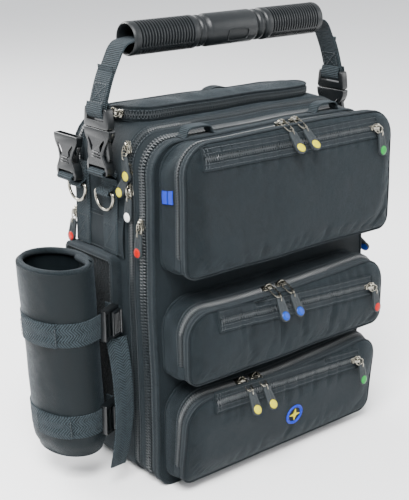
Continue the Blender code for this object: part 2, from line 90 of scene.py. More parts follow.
class FlightBagSizes(bpy.types.PropertyGroup):
    """Sizes of the finish: what a maker would change without touching the frame."""

    stitch: FloatProperty(
        name="Stitch Length", description="Length of one stitch of the seams", default=0.0036, unit="LENGTH"
    )
    piping: FloatProperty(
        name="Piping Radius", description="Radius of the piped edges", default=0.0016, unit="LENGTH"
    )
    give: FloatProperty(
        name="Cloth Give", description="How far the soft panels wander from flat", default=0.0022, unit="LENGTH"
    )
    sag: FloatProperty(
        name="Top Sag", description="Drop of the front module's top between its zips", default=0.0085, unit="LENGTH"
    )
    fine_pitch: FloatProperty(
        name="Fine Zip Pitch", description="Spacing of the teeth of the coil zips", default=0.0026, unit="LENGTH"
    )
    heavy_pitch: FloatProperty(
        name="Heavy Zip Pitch", description="Spacing of the teeth of the coarse zip", default=0.0030, unit="LENGTH"
    )
    weave: FloatProperty(
        name="Weave Pitch", description="Thread spacing of the body cloth", default=0.0011, unit="LENGTH"
    )
    drape_frames: IntProperty(
        name="Drape Frames", description="Steps of the cloth simulation of each pocket front", default=26, min=1
    )
    lens: FloatProperty(name="Lens", description="Focal length of the camera in mm", default=81.61)


def colour_property(name, description, value):
    return FloatVectorProperty(name=name, description=description, default=value, size=3, subtype="COLOR")


class FlightBagColours(bpy.types.PropertyGroup):
    """Colours of the cloths, plastics, metal and enamel dots."""

    nylon: colour_property("Nylon", "Body cloth", (0.0030, 0.0047, 0.0057))
    lining: colour_property("Lining", "Cloth inside the compartments", (0.0040, 0.0050, 0.0060))
    webbing: colour_property("Webbing", "Straps and handle webbing", (0.0085, 0.0118, 0.0136))
    tape: colour_property("Tape", "Zip tapes and bindings", (0.0042, 0.0060, 0.0070))
    teeth: colour_property("Teeth", "Coil teeth", (0.0130, 0.0160, 0.0178))
    neoprene: colour_property("Neoprene", "Bottle sleeve", (0.0028, 0.0048, 0.0058))
    plastic: colour_property("Plastic", "Buckles", (0.0030, 0.0038, 0.0044))
    grip: colour_property("Grip Rubber", "Carrying grip", (0.0048, 0.0060, 0.0068))
    pull: colour_property("Pull Rubber", "Zip pull tabs", (0.0150, 0.0185, 0.0205))
    nickel: colour_property("Nickel", "Sliders and rings", (0.30, 0.285, 0.24))
    thread: colour_property("Thread", "Seam thread", (0.022, 0.027, 0.030))
    yellow: colour_property("Yellow Dot", "Enamel", (0.40, 0.35, 0.0))
    blue: colour_property("Blue Dot", "Enamel", (0.0, 0.030, 0.23))
    red: colour_property("Red Dot", "Enamel", (0.30, 0.003, 0.001))
    green: colour_property("Green Dot", "Enamel", (0.0, 0.18, 0.022))
    white: colour_property("White Dot", "Enamel", (0.62, 0.63, 0.62))
    tag: colour_property("Tag", "Doubled fabric tag", (0.0, 0.012, 0.20))
    floor: colour_property("Floor", "Studio floor", (0.80, 0.80, 0.80))


def sizes():
    return bpy.context.scene.flight_bag_sizes


def colour(name, gain=1.0):
    return (*(min(value * gain, 1.0) for value in getattr(bpy.context.scene.flight_bag_colours, name)), 1.0)


# ---------------------------------------------------------------- node helpers


def add_node(tree, kind, inputs=None, **settings):
    """Adds one node: settings are its properties, inputs its sockets' values or the outputs linked to them."""
    node = tree.nodes.new(kind)
    for key, value in settings.items():
        setattr(node, key, value)
    for key, value in (inputs or {}).items():
        if isinstance(value, bpy.types.NodeSocket):
            tree.links.new(value, node.inputs[key])
        else:
            node.inputs[key].default_value = value
    return node


def maths(tree, operation, *values):
    """A Math node's output."""
    node = add_node(tree, "ShaderNodeMath", dict(enumerate(values)), operation=operation)
    return node.outputs[0]


def new_group(name, inputs, outputs):
    """An empty shader node group with named sockets, and its tree, input node and output node."""
    tree = bpy.data.node_groups.new(name, "ShaderNodeTree")
    for socket, kind, default in inputs:
        made = tree.interface.new_socket(socket, in_out="INPUT", socket_type=kind)
        if default is not None:
            made.default_value = default
    for socket, kind in outputs:
        tree.interface.new_socket(socket, in_out="OUTPUT", socket_type=kind)
    return tree, add_node(tree, "NodeGroupInput"), add_node(tree, "NodeGroupOutput")


FLOAT, VECTOR = "NodeSocketFloat", "NodeSocketVector"


def weave_group():
    """Plain weave: raised warp and weft threads by turns."""
    name = "Plain Weave"
    if name in bpy.data.node_groups:
        return bpy.data.node_groups[name]
    tree, source, sink = new_group(
        name,
        [("Vector", VECTOR, None), ("Pitch", FLOAT, 0.001), ("Stretch", FLOAT, 1.0)],
        [("Height", FLOAT), ("Thread", FLOAT)],
    )
    parts = add_node(tree, "ShaderNodeSeparateXYZ", {0: source.outputs["Vector"]})
    across = maths(tree, "DIVIDE", parts.outputs[0], source.outputs["Pitch"])
    along = maths(tree, "DIVIDE", parts.outputs[1], source.outputs["Pitch"])
    along = maths(tree, "DIVIDE", along, source.outputs["Stretch"])
    crown = [
        maths(tree, "ABSOLUTE", maths(tree, "SINE", maths(tree, "MULTIPLY", value, math.pi)))
        for value in (across, along)
    ]
    cell = maths(tree, "ADD", maths(tree, "FLOOR", across), maths(tree, "FLOOR", along))
    warp_on_top = maths(tree, "FLOORED_MODULO", cell, 2.0)
    warp = maths(tree, "MULTIPLY", maths(tree, "POWER", crown[0], 0.5), maths(tree, "ADD", crown[1], 0.6))
    weft = maths(tree, "MULTIPLY", maths(tree, "POWER", crown[1], 0.5), maths(tree, "ADD", crown[0], 0.6))
    over = add_node(tree, "ShaderNodeMix", {0: warp_on_top, 2: weft, 3: warp}, data_type="FLOAT")
    tree.links.new(over.outputs[0], sink.inputs["Height"])
    tree.links.new(warp_on_top, sink.inputs["Thread"])
    return tree


def rib_group():
    """Grosgrain or twill ribs: rounded ridges across a tape, slanted by Slant."""
    name = "Ribbed Tape"
    if name in bpy.data.node_groups:
        return bpy.data.node_groups[name]
    tree, source, sink = new_group(
        name,
        [("Vector", VECTOR, None), ("Pitch", FLOAT, 0.0014), ("Slant", FLOAT, 0.0), ("Herringbone", FLOAT, 0.01)],
        [("Height", FLOAT), ("Thread", FLOAT)],
    )
    parts = add_node(tree, "ShaderNodeSeparateXYZ", {0: source.outputs["Vector"]})
    zigzag = maths(tree, "PINGPONG", parts.outputs[0], source.outputs["Herringbone"])
    slanted = maths(tree, "MULTIPLY", zigzag, source.outputs["Slant"])
    along = maths(tree, "DIVIDE", maths(tree, "ADD", parts.outputs[1], slanted), source.outputs["Pitch"])
    ridge = maths(tree, "ABSOLUTE", maths(tree, "SINE", maths(tree, "MULTIPLY", along, math.pi)))
    strand = maths(tree, "DIVIDE", parts.outputs[0], source.outputs["Pitch"])
    strand = maths(tree, "MULTIPLY", strand, math.pi * 1.5)
    fibre = maths(tree, "MULTIPLY", maths(tree, "ABSOLUTE", maths(tree, "SINE", strand)), 0.35)
    tree.links.new(maths(tree, "ADD", ridge, fibre), sink.inputs["Height"])
    # The Thread output, the bare ridge, is the mask for the painted highlight on rib crowns and the painted shade in
    # the grooves.
    tree.links.new(ridge, sink.inputs["Thread"])
    return tree


def grain_group():
    """Uneven surface: broad handling marks, small mottling and a fine grain."""
    name = "Handled Grain"
    if name in bpy.data.node_groups:
        return bpy.data.node_groups[name]
    tree, source, sink = new_group(
        name,
        [("Vector", VECTOR, None), ("Broad Scale", FLOAT, 12.0), ("Fine Scale", FLOAT, 900.0)],
        [("Broad", FLOAT), ("Mottle", FLOAT), ("Fine", FLOAT)],
    )
    for socket, scale, detail in (
        ("Broad", source.outputs["Broad Scale"], 3.0),
        ("Mottle", maths(tree, "MULTIPLY", source.outputs["Broad Scale"], 9.0), 2.0),
        ("Fine", source.outputs["Fine Scale"], 1.0),
    ):
        cloud = add_node(
            tree, "ShaderNodeTexNoise",
            {"Vector": source.outputs["Vector"], "Scale": scale, "Detail": detail, "Roughness": 0.55},
        )
        tree.links.new(cloud.outputs[0], sink.inputs[socket])
    return tree


def spread(tree, value, low, high, from_low=0.3, from_high=0.7):
    """Maps a mask to a range, for roughness or height."""
    inputs = {"Value": value, "From Min": from_low, "From Max": from_high, "To Min": low, "To Max": high}
    return add_node(tree, "ShaderNodeMapRange", inputs).outputs[0]


def start_material(name, metallic=0.0, specular=0.5, **constants):
    """A new material, its tree, its shader and the two coordinates that patterns read."""
    made = bpy.data.materials.new(name)
    made.use_nodes = True
    tree = made.node_tree
    shader = tree.nodes["Principled BSDF"]
    shader.inputs["Metallic"].default_value = metallic
    shader.inputs["Specular IOR Level"].default_value = specular
    for key, value in constants.items():
        shader.inputs[key.replace("_", " ")].default_value = value
    body = add_node(tree, "ShaderNodeTexCoord").outputs["Object"]
    cloth = add_node(tree, "ShaderNodeUVMap", uv_map="cloth").outputs[0]
    return made, tree, shader, body, cloth


def finish_colour(tree, shader, mask, dark, light):
    """Base colour that wanders between two tones by a mask."""
    mix = add_node(tree, "ShaderNodeMix", {0: mask, 6: dark, 7: light}, data_type="RGBA")
    tree.links.new(mix.outputs[2], shader.inputs["Base Color"])


def finish_bump(tree, shader, heights, distance, strength=1.0):
    """Adds up weighted heights into one Bump node."""
    total = None
    for height, weight in heights:
        part = maths(tree, "MULTIPLY", height, weight)
        total = part if total is None else maths(tree, "ADD", total, part)
    inputs = {"Height": total, "Distance": distance, "Strength": strength}
    bump = add_node(tree, "ShaderNodeBump", inputs)
    tree.links.new(bump.outputs[0], shader.inputs["Normal"])


def made_once(build):
    """Keeps a material after its first making."""
    kept = {}

    def fetch(*words):
        if words not in kept:
            kept[words] = build(*words)
        return kept[words]

    return fetch


@made_once
def cloth_material(tone, pitch, shine):
    """Woven nylon: plain weave, mottled dye and a soft sheen."""
    made, tree, shader, body, cloth = start_material(
        f"{tone}_cloth_{round(pitch * 1e4)}", specular=0.08, Sheen_Weight=shine, Sheen_Roughness=0.42,
        Sheen_Tint=(0.70, 0.84, 0.94, 1.0),
    )
    weave = add_node(tree, "ShaderNodeGroup", node_tree=weave_group())
    tree.links.new(cloth, weave.inputs["Vector"])
    weave.inputs["Pitch"].default_value = pitch
    grain = add_node(tree, "ShaderNodeGroup", node_tree=grain_group())
    tree.links.new(body, grain.inputs["Vector"])
    grain.inputs["Broad Scale"].default_value = 16.0
    shade = maths(tree, "MULTIPLY", weave.outputs["Height"], 0.50)
    shade = maths(tree, "ADD", shade, spread(tree, grain.outputs["Mottle"], -0.12, 0.22))
    shade = maths(tree, "ADD", shade, spread(tree, grain.outputs["Broad"], -0.10, 0.26))
    finish_colour(tree, shader, shade, colour(tone, 0.50), colour(tone, 2.10))
    rough = spread(tree, grain.outputs["Broad"], 0.50, 0.68)
    tree.links.new(rough, shader.inputs["Roughness"])
    heights = [(weave.outputs["Height"], 1.0), (grain.outputs["Mottle"], 1.2), (grain.outputs["Fine"], 0.5)]
    finish_bump(tree, shader, heights, 0.00022)
    return made


@made_once
def ribbed_material(tone, pitch, slant, gain):
    """Webbing, tape and binding: ribs or herringbone twill, with a painted highlight on each rib's crown and painted
    shade in its grooves.
    """
    made, tree, shader, body, cloth = start_material(
        f"{tone}_ribbed_{round(pitch * 1e4)}_{round(slant * 10)}", specular=0.07, Sheen_Weight=0.05, Sheen_Roughness=0.4,
        Sheen_Tint=(0.72, 0.80, 0.90, 1.0),
    )
    rib = add_node(tree, "ShaderNodeGroup", node_tree=rib_group())
    tree.links.new(cloth, rib.inputs["Vector"])
    rib.inputs["Pitch"].default_value = pitch
    rib.inputs["Slant"].default_value = slant
    rib.inputs["Herringbone"].default_value = 0.0062
    grain = add_node(tree, "ShaderNodeGroup", node_tree=grain_group())
    tree.links.new(body, grain.inputs["Vector"])
    grain.inputs["Broad Scale"].default_value = 30.0
    # Painted light: the rib ridge paints the crowns paler as a painted highlight and the grooves darker as painted
    # shade; the mottle adds random tone.
    shade = maths(tree, "MULTIPLY", rib.outputs["Thread"], 0.95)
    shade = maths(tree, "ADD", shade, spread(tree, grain.outputs["Mottle"], -0.15, 0.28))
    finish_colour(tree, shader, shade, colour(tone, 0.12 * gain), colour(tone, 2.6 * gain))
    tree.links.new(spread(tree, grain.outputs["Broad"], 0.52, 0.72), shader.inputs["Roughness"])
    finish_bump(tree, shader, [(rib.outputs["Height"], 1.0), (grain.outputs["Fine"], 0.4)], 0.00060)
    return made


@made_once
def rubber_material(tone, rough, grain_height, specular):
    """Moulded rubber or plastic: fine spark grain, faint dust and gloss that varies with handling."""
    made, tree, shader, body, _cloth = start_material(f"{tone}_moulded_{round(rough * 100)}", specular=specular)
    grain = add_node(tree, "ShaderNodeGroup", node_tree=grain_group())
    tree.links.new(body, grain.inputs["Vector"])
    grain.inputs["Broad Scale"].default_value = 40.0
    grain.inputs["Fine Scale"].default_value = 1600.0
    shade = spread(tree, grain.outputs["Mottle"], 0.15, 0.85)
    finish_colour(tree, shader, shade, colour(tone, 0.85), colour(tone, 1.20))
    tree.links.new(spread(tree, grain.outputs["Broad"], rough - 0.07, rough + 0.10), shader.inputs["Roughness"])
    finish_bump(tree, shader, [(grain.outputs["Fine"], 1.0), (grain.outputs["Mottle"], 0.6)], grain_height)
    return made


@made_once
def neoprene_material():
    """Foam rubber faced with a very fine knit: smooth, with a broad soft shine."""
    made, tree, shader, body, cloth = start_material(
        "neoprene_knit", specular=0.12, Sheen_Weight=0.06, Sheen_Roughness=0.35, Sheen_Tint=(0.60, 0.74, 0.86, 1.0)
    )
    weave = add_node(tree, "ShaderNodeGroup", node_tree=weave_group())
    tree.links.new(cloth, weave.inputs["Vector"])
    weave.inputs["Pitch"].default_value = 0.0006
    weave.inputs["Stretch"].default_value = 1.8
    grain = add_node(tree, "ShaderNodeGroup", node_tree=grain_group())
    tree.links.new(body, grain.inputs["Vector"])
    shade = maths(tree, "ADD", spread(tree, grain.outputs["Broad"], 0.15, 0.75), 0.0)
    shade = maths(tree, "ADD", shade, spread(tree, grain.outputs["Mottle"], -0.10, 0.14))
    finish_colour(tree, shader, shade, colour("neoprene", 0.80), colour("neoprene", 1.45))
    tree.links.new(spread(tree, grain.outputs["Mottle"], 0.46, 0.58), shader.inputs["Roughness"])
    heights = [(weave.outputs["Height"], 0.5), (grain.outputs["Fine"], 0.6), (grain.outputs["Mottle"], 1.5)]
    finish_bump(tree, shader, heights, 0.00012)
    return made


@made_once
def loop_material():
    """Brushed loop fabric, the soft half of hook-and-loop: matted, linty pile."""
    made, tree, shader, body, _cloth = start_material("loop_pile", specular=0.03, Sheen_Weight=0.03, Sheen_Roughness=0.6)
    pile = add_node(tree, "ShaderNodeTexVoronoi", {"Vector": body, "Scale": 620.0}, feature="SMOOTH_F1")
    lint = add_node(tree, "ShaderNodeTexNoise", {"Vector": body, "Scale": 300.0, "Detail": 4.0})
    finish_colour(tree, shader, spread(tree, lint.outputs[0], 0.0, 1.0), colour("nylon", 0.45), colour("nylon", 1.5))
    shader.inputs["Roughness"].default_value = 0.95
    finish_bump(tree, shader, [(pile.outputs[0], 1.5), (lint.outputs[0], 1.0)], 0.0006)
    return made


@made_once
def nickel_material():
    """Nickel plate: bright, with fine scuffs and slightly warm tarnish."""
    made, tree, shader, body, _cloth = start_material("nickel_plate", metallic=1.0)
    grain = add_node(tree, "ShaderNodeGroup", node_tree=grain_group())
    tree.links.new(body, grain.inputs["Vector"])
    grain.inputs["Broad Scale"].default_value = 90.0
    tarnish = spread(tree, grain.outputs["Broad"], 0.0, 1.0)
    finish_colour(tree, shader, tarnish, colour("nickel", 0.55), colour("nickel", 1.35))
    tree.links.new(spread(tree, grain.outputs["Mottle"], 0.14, 0.32), shader.inputs["Roughness"])
    finish_bump(tree, shader, [(grain.outputs["Fine"], 1.0)], 0.00003)
    return made


@made_once
def enamel_material(tone):
    """Glossy filled enamel, a little cloudy."""
    made, tree, shader, body, _cloth = start_material(f"enamel_{tone}", specular=0.12, Coat_Weight=0.10, Coat_Roughness=0.12)
    cloud = add_node(tree, "ShaderNodeTexNoise", {"Vector": body, "Scale": 420.0, "Detail": 2.0})
    finish_colour(tree, shader, cloud.outputs[0], colour(tone, 0.90), colour(tone, 1.08))
    shader.inputs["Roughness"].default_value = 0.32
    finish_bump(tree, shader, [(cloud.outputs[0], 1.0)], 0.00004)
    return made


@made_once
def thread_material(tone, gain):
    """Twisted sewing thread."""
    made, tree, shader, body, _cloth = start_material(f"{tone}_thread_{round(gain * 10)}", specular=0.2, Sheen_Weight=0.05)
    twist = add_node(tree, "ShaderNodeTexNoise", {"Vector": body, "Scale": 1500.0, "Detail": 1.0})
    finish_colour(tree, shader, twist.outputs[0], colour(tone, 0.6 * gain), colour(tone, 1.5 * gain))
    shader.inputs["Roughness"].default_value = 0.6
    finish_bump(tree, shader, [(twist.outputs[0], 1.0)], 0.0001)
    return made


def nylon():
    return cloth_material("nylon", sizes().weave, 0.07)


def gusset_cloth():
    return cloth_material("nylon", sizes().weave * 0.8, 0.055)


def lining():
    return cloth_material("lining", sizes().weave * 0.7, 0.05)


def webbing():
    return ribbed_material("webbing", 0.0017, 0.0, 0.9)


def twill():
    return ribbed_material("webbing", 0.0027, 0.8, 1.0)


def tape():
    return ribbed_material("tape", 0.0010, 0.0, 1.0)


def binding():
    return ribbed_material("tape", 0.0015, 0.35, 1.15)


def plastic():
    return rubber_material("plastic", 0.30, 0.00003, 0.42)


def tooth_plastic():
    return rubber_material("teeth", 0.34, 0.00002, 0.5)


def grip_rubber():
    return rubber_material("grip", 0.40, 0.00010, 0.26)


def pull_rubber():
    return rubber_material("pull", 0.52, 0.00008, 0.25)


def seam_thread():
    return thread_material("thread", 1.0)


# ---------------------------------------------------------------- shape helpers


def ease(value):
    """Smooth step from 0 to 1."""
    share = min(max(value, 0.0), 1.0)
    return share * share * (3 - 2 * share)


def give(point):
    """How soft cloth wanders at a place: one smooth field, shared by everything sewn to it."""
    spot = Vector(point)
    drift = noise.noise_vector(spot * 8.0 + Vector((3.1, 7.7, 1.3)))
    drift += 0.4 * noise.noise_vector(spot * 19.0)
    hold = ease(spot.z / 0.05) * ease((0.40 - spot.z) / 0.04)
    sag = ease((0.004 - spot.y) / 0.034) * ease((spot.y + 0.080) / 0.034) * ease((spot.z - 0.25) / 0.09)
    spot += Vector((0.7 * drift.x, 0.9 * drift.y, 0.9 * drift.z)) * hold * sizes().give
    return spot - Z_AXIS * sag * sizes().sag


def rumple(point, size, amount):
    """Small creases: height along the cloth's normal, from ridged noise."""
    value = noise.noise(Vector(point) * size)
    return (0.5 - abs(value)) * amount


def link(name, mesh):
    piece = bpy.data.objects.new(name, mesh)
    bpy.context.scene.collection.objects.link(piece)
    return piece


def box_uv(bm):
    """Lays cloth coordinates, in metres, flat on the plane that each face is nearest to."""
    if bm.loops.layers.uv.get("cloth"):
        return
    layer = bm.loops.layers.uv.new("cloth")
    bm.normal_update()
    for face in bm.faces:
        facing = max(range(3), key=lambda axis: abs(face.normal[axis]))
        first, second = ((1, 2), (0, 2), (0, 1))[facing]
        for loop in face.loops:
            loop[layer].uv = (loop.vert.co[first], loop.vert.co[second])


def tidy(bm):
    bmesh.ops.remove_doubles(bm, verts=bm.verts, dist=1e-6)
    bmesh.ops.recalc_face_normals(bm, faces=bm.faces)


def publish(name, bm, finish, body, slot, stands_for=(), soft=True, smooth=40.0, bend=None, shape=None):
    """Turns a bmesh into a finished piece: in place, with its material, riding on its body, or on no body when bend is
    given; slot is not used.
    """
    tidy(bm)
    box_uv(bm)
    if shape:
        for vert in bm.verts:
            vert.co = shape(vert.co)
    if soft:
        for vert in bm.verts:
            vert.co = give(vert.co)
            vert.co.z = max(vert.co.z, 0.0)
    mesh = bpy.data.meshes.new(name)
    bm.to_mesh(mesh)
    bm.free()
    piece = link(name, mesh)
    mesh.materials.append(finish)
    mesh.shade_smooth()
    mesh.set_sharp_from_angle(angle=math.radians(smooth))
    if bend:
        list(bend)
        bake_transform(piece)
    else:
        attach(piece, body)
    if stands_for:
        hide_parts(*stands_for)
    return piece


def applied(piece):
    """Makes a piece's modifiers part of its mesh."""
    graph = bpy.context.evaluated_depsgraph_get()
    mesh = bpy.data.meshes.new_from_object(piece.evaluated_get(graph), depsgraph=graph)
    piece.modifiers.clear()
    piece.data = mesh
    return piece


def carve(piece, cutter_bm, operation="DIFFERENCE"):
    """Cuts, or joins, a closed shape into a piece."""
    tidy(cutter_bm)
    mesh = bpy.data.meshes.new("cutter")
    cutter_bm.to_mesh(mesh)
    cutter_bm.free()
    cutter = link("cutter", mesh)
    step = piece.modifiers.new("cut", "BOOLEAN")
    step.operation = operation
    step.solver = "EXACT"
    step.object = cutter
    applied(piece)
    bpy.data.objects.remove(cutter)
    return piece


def outline(x_span, z_span, base, top, step=0.008, turns=7):
    """Points and outward directions round an upright rectangle with round corners, from mid base."""
    (x0, x1), (z0, z1) = x_span, z_span
    marks = [(Vector(((x0 + x1) / 2, 0, z0)), -Z_AXIS)]
    corners = (
        (x1 - base, z0 + base, base, -90), (x1 - top, z1 - top, top, 0),
        (x0 + top, z1 - top, top, 90), (x0 + base, z0 + base, base, 180),
    )
    for x, z, radius, start in corners:
        for turn in range(turns + 1):
            angle = math.radians(start + 90 * turn / turns)
            out = Vector((math.cos(angle), 0, math.sin(angle)))
            marks.append((Vector((x, 0, z)) + out * radius, out))
    marks.append(marks[0])
    dense = [marks[0]]
    for (before, out), (after, next_out) in zip(marks, marks[1:]):
        pieces = max(1, math.ceil((after - before).length / step))
        for count in range(1, pieces + 1):
            share = count / pieces
            dense.append((before.lerp(after, share), out.lerp(next_out, share).normalized()))
    return dense


def at_depth(marks, y, lift=0.0, above=None):
    """Stations at one depth along Y from an outline, lifted off it, and only above a height if given."""
    return [
        (point + out * lift + Y_AXIS * y, Y_AXIS, out)
        for point, out in marks
        if above is None or point.z > above
    ]


def walk(stations, pitch, start=0.0):
    """Stations at an even spacing along a run."""
    due = start
    for (before, side, out), (after, next_side, next_out) in zip(stations, stations[1:]):
        length = (after - before).length
        while due < length:
            share = due / length
            yield (
                before.lerp(after, share),
                side.lerp(next_side, share).normalized(),
                out.lerp(next_out, share).normalized(),
            )
            due += pitch
        due -= length


def run_length(stations):
    return sum((after[0] - before[0]).length for before, after in zip(stations, stations[1:]))


def straight(start, end, out, step=0.006):
    """Stations along a straight line, with the side axis square to it and to out."""
    start, end, out = Vector(start), Vector(end), Vector(out).normalized()
    side = out.cross(end - start).normalized()
    pieces = max(1, math.ceil((end - start).length / step))
    return [(start.lerp(end, count / pieces), side, out) for count in range(pieces + 1)]


def through(points, out, each=6, side=None):
    """Stations along a smooth curve through a few points."""
    points = [Vector(point) for point in points]
    padded = [2 * points[0] - points[1], *points, 2 * points[-1] - points[-2]]
    line = []
    for index in range(1, len(padded) - 2):
        a, b, c, d = padded[index - 1 : index + 3]
        for count in range(each):
            t = count / each
            curve = 2 * b + (c - a) * t + (2 * a - 5 * b + 4 * c - d) * t * t
            line.append((curve + (3 * b - a - 3 * c + d) * t ** 3) / 2)
    line.append(points[-1])
    stations = []
    for index, point in enumerate(line):
        ahead = line[min(index + 1, len(line) - 1)] - line[max(index - 1, 0)]
        if side is not None:
            across = Vector(side)
            facing = ahead.cross(across).normalized()
        else:
            facing = Vector(out)
            across = facing.cross(ahead).normalized()
            facing = ahead.cross(across).normalized()
        stations.append((point, across, facing))
    return stations


def slab(side_span, out_span, edge=0.0):
    """A flat section, with its corners eased when edge is given."""
    (s0, s1), (n0, n1) = sorted(side_span), sorted(out_span)
    if not edge:
        return [(s0, n0), (s1, n0), (s1, n1), (s0, n1)]
    return [
        (s0 + edge, n0), (s1 - edge, n0), (s1, n0 + edge), (s1, n1 - edge),
        (s1 - edge, n1), (s0 + edge, n1), (s0, n1 - edge), (s0, n0 + edge),
    ]


def crowned(side_span, crown, wall, count=10, foot=0.0, power=0.7):
    """A section of padded cloth: its outer side swells between two seams, its inner side is flat."""
    (s0, s1) = side_span
    outer = []
    for index in range(count + 1):
        share = index / count
        swell = max(math.sin(math.pi * share), 0.0) ** power
        outer.append((s0 + (s1 - s0) * share, foot + crown * swell))
    return outer + [(s1, -wall), (s0, -wall)]


def circle(radius, count=8, centre=(0.0, 0.0), flat=1.0):
    turns = [2 * math.pi * index / count for index in range(count)]
    return [(centre[0] + radius * math.cos(t), centre[1] + flat * radius * math.sin(t)) for t in turns]


def sweep(bm, section, stations, closed=True):
    """Sweeps a section of (side, out) points along stations, with cloth coordinates in metres."""
    layer = bm.loops.layers.uv.get("cloth") or bm.loops.layers.uv.new("cloth")
    rim = [*section, section[0]] if closed else list(section)
    columns, rows = len(rim) - 1, len(stations) - 1
    across, along = [0.0], [0.0]
    for before, after in zip(rim, rim[1:]):
        across.append(across[-1] + math.dist(before, after))
    for before, after in zip(stations, stations[1:]):
        along.append(along[-1] + (after[0] - before[0]).length)
    made = bmesh.ops.create_grid(bm, x_segments=columns, y_segments=rows, size=0.5)["verts"]
    cell = {
        vert: (round((vert.co.x + 0.5) * columns), round((vert.co.y + 0.5) * rows)) for vert in made
    }
    for face in {face for vert in made for face in vert.link_faces}:
        for loop in face.loops:
            column, row = cell[loop.vert]
            loop[layer].uv = (across[column], along[row])
    for vert, (column, row) in cell.items():
        origin, side, out = stations[row]
        vert.co = origin + side * rim[column][0] + out * rim[column][1]
    if closed:
        bmesh.ops.remove_doubles(bm, verts=made, dist=1e-7)
        if (stations[0][0] - stations[-1][0]).length > 1e-6:
            open_edges = [edge for edge in bm.edges if edge.is_boundary]
            bmesh.ops.holes_fill(bm, edges=open_edges, sides=0)
    return bm


def sweep_piece(name, section, stations, finish, body, slot, **words):
    return publish(name, sweep(bmesh.new(), section, stations), finish, body, slot, **words)


def block_at(bm, station, size, shift=(0.0, 0.0, 0.0), edge=0.0):
    """A small box at a station: size and shift are along the run, its side and out."""
    origin, side, out = station
    along = side.cross(out).normalized()
    basis = Matrix((along, side, out)).transposed()
    centre = origin + basis @ Vector(shift)
    place = Matrix.Translation(centre) @ basis.to_4x4() @ Matrix.Diagonal((*size, 1.0))
    made = bmesh.ops.create_cube(bm, size=1.0, matrix=place)["verts"]
    if edge:
        edges = list({item for vert in made for item in vert.link_edges})
        bmesh.ops.bevel(
            bm, geom=edges, offset=edge, affect="EDGES", segments=1, profile=0.5, material=-1,
            clamp_overlap=True,
        )
    return made


def stitched_piece(name, runs, body, lift=0.0003, width=0.0008, finish=None, **words):
    """One piece with every stitch row of a seam; runs are station lists or (stations, side shift)."""
    bm = bmesh.new()
    for run in runs:
        stations, shift = run if isinstance(run, tuple) else (run, 0.0)
        stitches(bm, stations, lift, shift, width)
    return publish(name, bm, finish or seam_thread(), body, "webbing", **words)


def plate(bm, marks, y0, y1):
    """A flat plate of an outline's shape between two depths."""
    ring = [bm.verts.new(point + Y_AXIS * y0) for point, _out in marks[:-1]]
    face = bm.faces.new(ring)
    swept = bmesh.ops.extrude_face_region(bm, geom=[face])["geom"]
    verts = [item for item in swept if isinstance(item, bmesh.types.BMVert)]
    bmesh.ops.translate(bm, verts=verts, vec=(0, y1 - y0, 0))
    return bm


def height_over(pieces, axis=Y_AXIS):
    """A probe that finds where pieces lie along an axis: probe(x, z) gives the y of their near side."""
    bm = bmesh.new()
    for piece in pieces:
        bm.from_mesh(piece.data)
    tree = BVHTree.FromBMesh(bm)
    bm.free()

    def probe(first, second, fallback=0.0):
        start = Vector((first, -1.0, second)) if axis == Y_AXIS else Vector((-1.0, first, second))
        hit = tree.ray_cast(start, axis)[0]
        if hit is None:
            return fallback
        return hit.y if axis == Y_AXIS else hit.x

    return probe


# ---------------------------------------------------------------- zips, sliders and pulls

ZIP_KINDS = {
    # kind: (tape width, tooth reach across, tooth height)
    "fine": (0.0068, 0.0034, 0.0018),
    "heavy": (0.0085, 0.0050, 0.0027),
}


def rod(bm, station, length, radius, shift=(0.0, 0.0, 0.0), flat=1.0, across=False, taper=1.0):
    """A six-sided rod at a station, along the run or across it."""
    origin, side, out = station
    along = side.cross(out).normalized()
    basis = Matrix((along, side, out)).transposed()
    axes = Matrix((out * flat, along, side) if across else (side, out * flat, along)).transposed()
    place = Matrix.Translation(origin + basis @ Vector(shift)) @ axes.to_4x4()
    bmesh.ops.create_cone(
        bm, cap_ends=True, segments=6, radius1=radius, radius2=radius * taper, depth=length, matrix=place
    )


def stitches(bm, stations, lift=0.0, shift=0.0, width=0.0008):
    """A row of raised stitches along a run."""
    length = sizes().stitch
    for station in walk(stations, length, length / 2):
        rod(bm, station, length * 0.70, width / 2, (0.0, shift, lift), flat=0.8)


def zip_half(name, stations, turn, kind, body, tight=False, **words):
    """One side of a zip: its tape, its stitch line and its row of teeth, on side turn of the run."""
    width, reach, rise = ZIP_KINDS[kind]
    lift = 0.0006
    if tight:
        width *= 0.72
    pitch = sizes().heavy_pitch if kind == "heavy" else sizes().fine_pitch
    section = slab((turn * 0.0007, turn * width), (-0.0006, lift), 0.0002)
    sweep_piece(f"{name}_tape", section, stations, tape(), body, "nylon", **words)
    teeth = bmesh.new()
    begin = pitch * (0.5 if turn > 0 else 1.0)
    for station in walk(stations, pitch, begin):
        shift = (0.0, turn * (reach / 2 - 0.0008), lift + rise * 0.30)
        rod(teeth, station, reach, rise * 0.42, shift, flat=1.0, across=True)
    publish(f"{name}_teeth", teeth, tooth_plastic(), body, "moulded_plastic", smooth=70, **words)
    stitched_piece(f"{name}_seam", [(stations, turn * (width - 0.0015))], body, lift + 0.0001, 0.0008, **words)


def basis_points(station, points):
    """Points given as (along, side, out) at a station, in the row frame."""
    origin, side, out = station
    along = side.cross(out).normalized()
    return [origin + along * a + side * s + out * n for a, s, n in points]


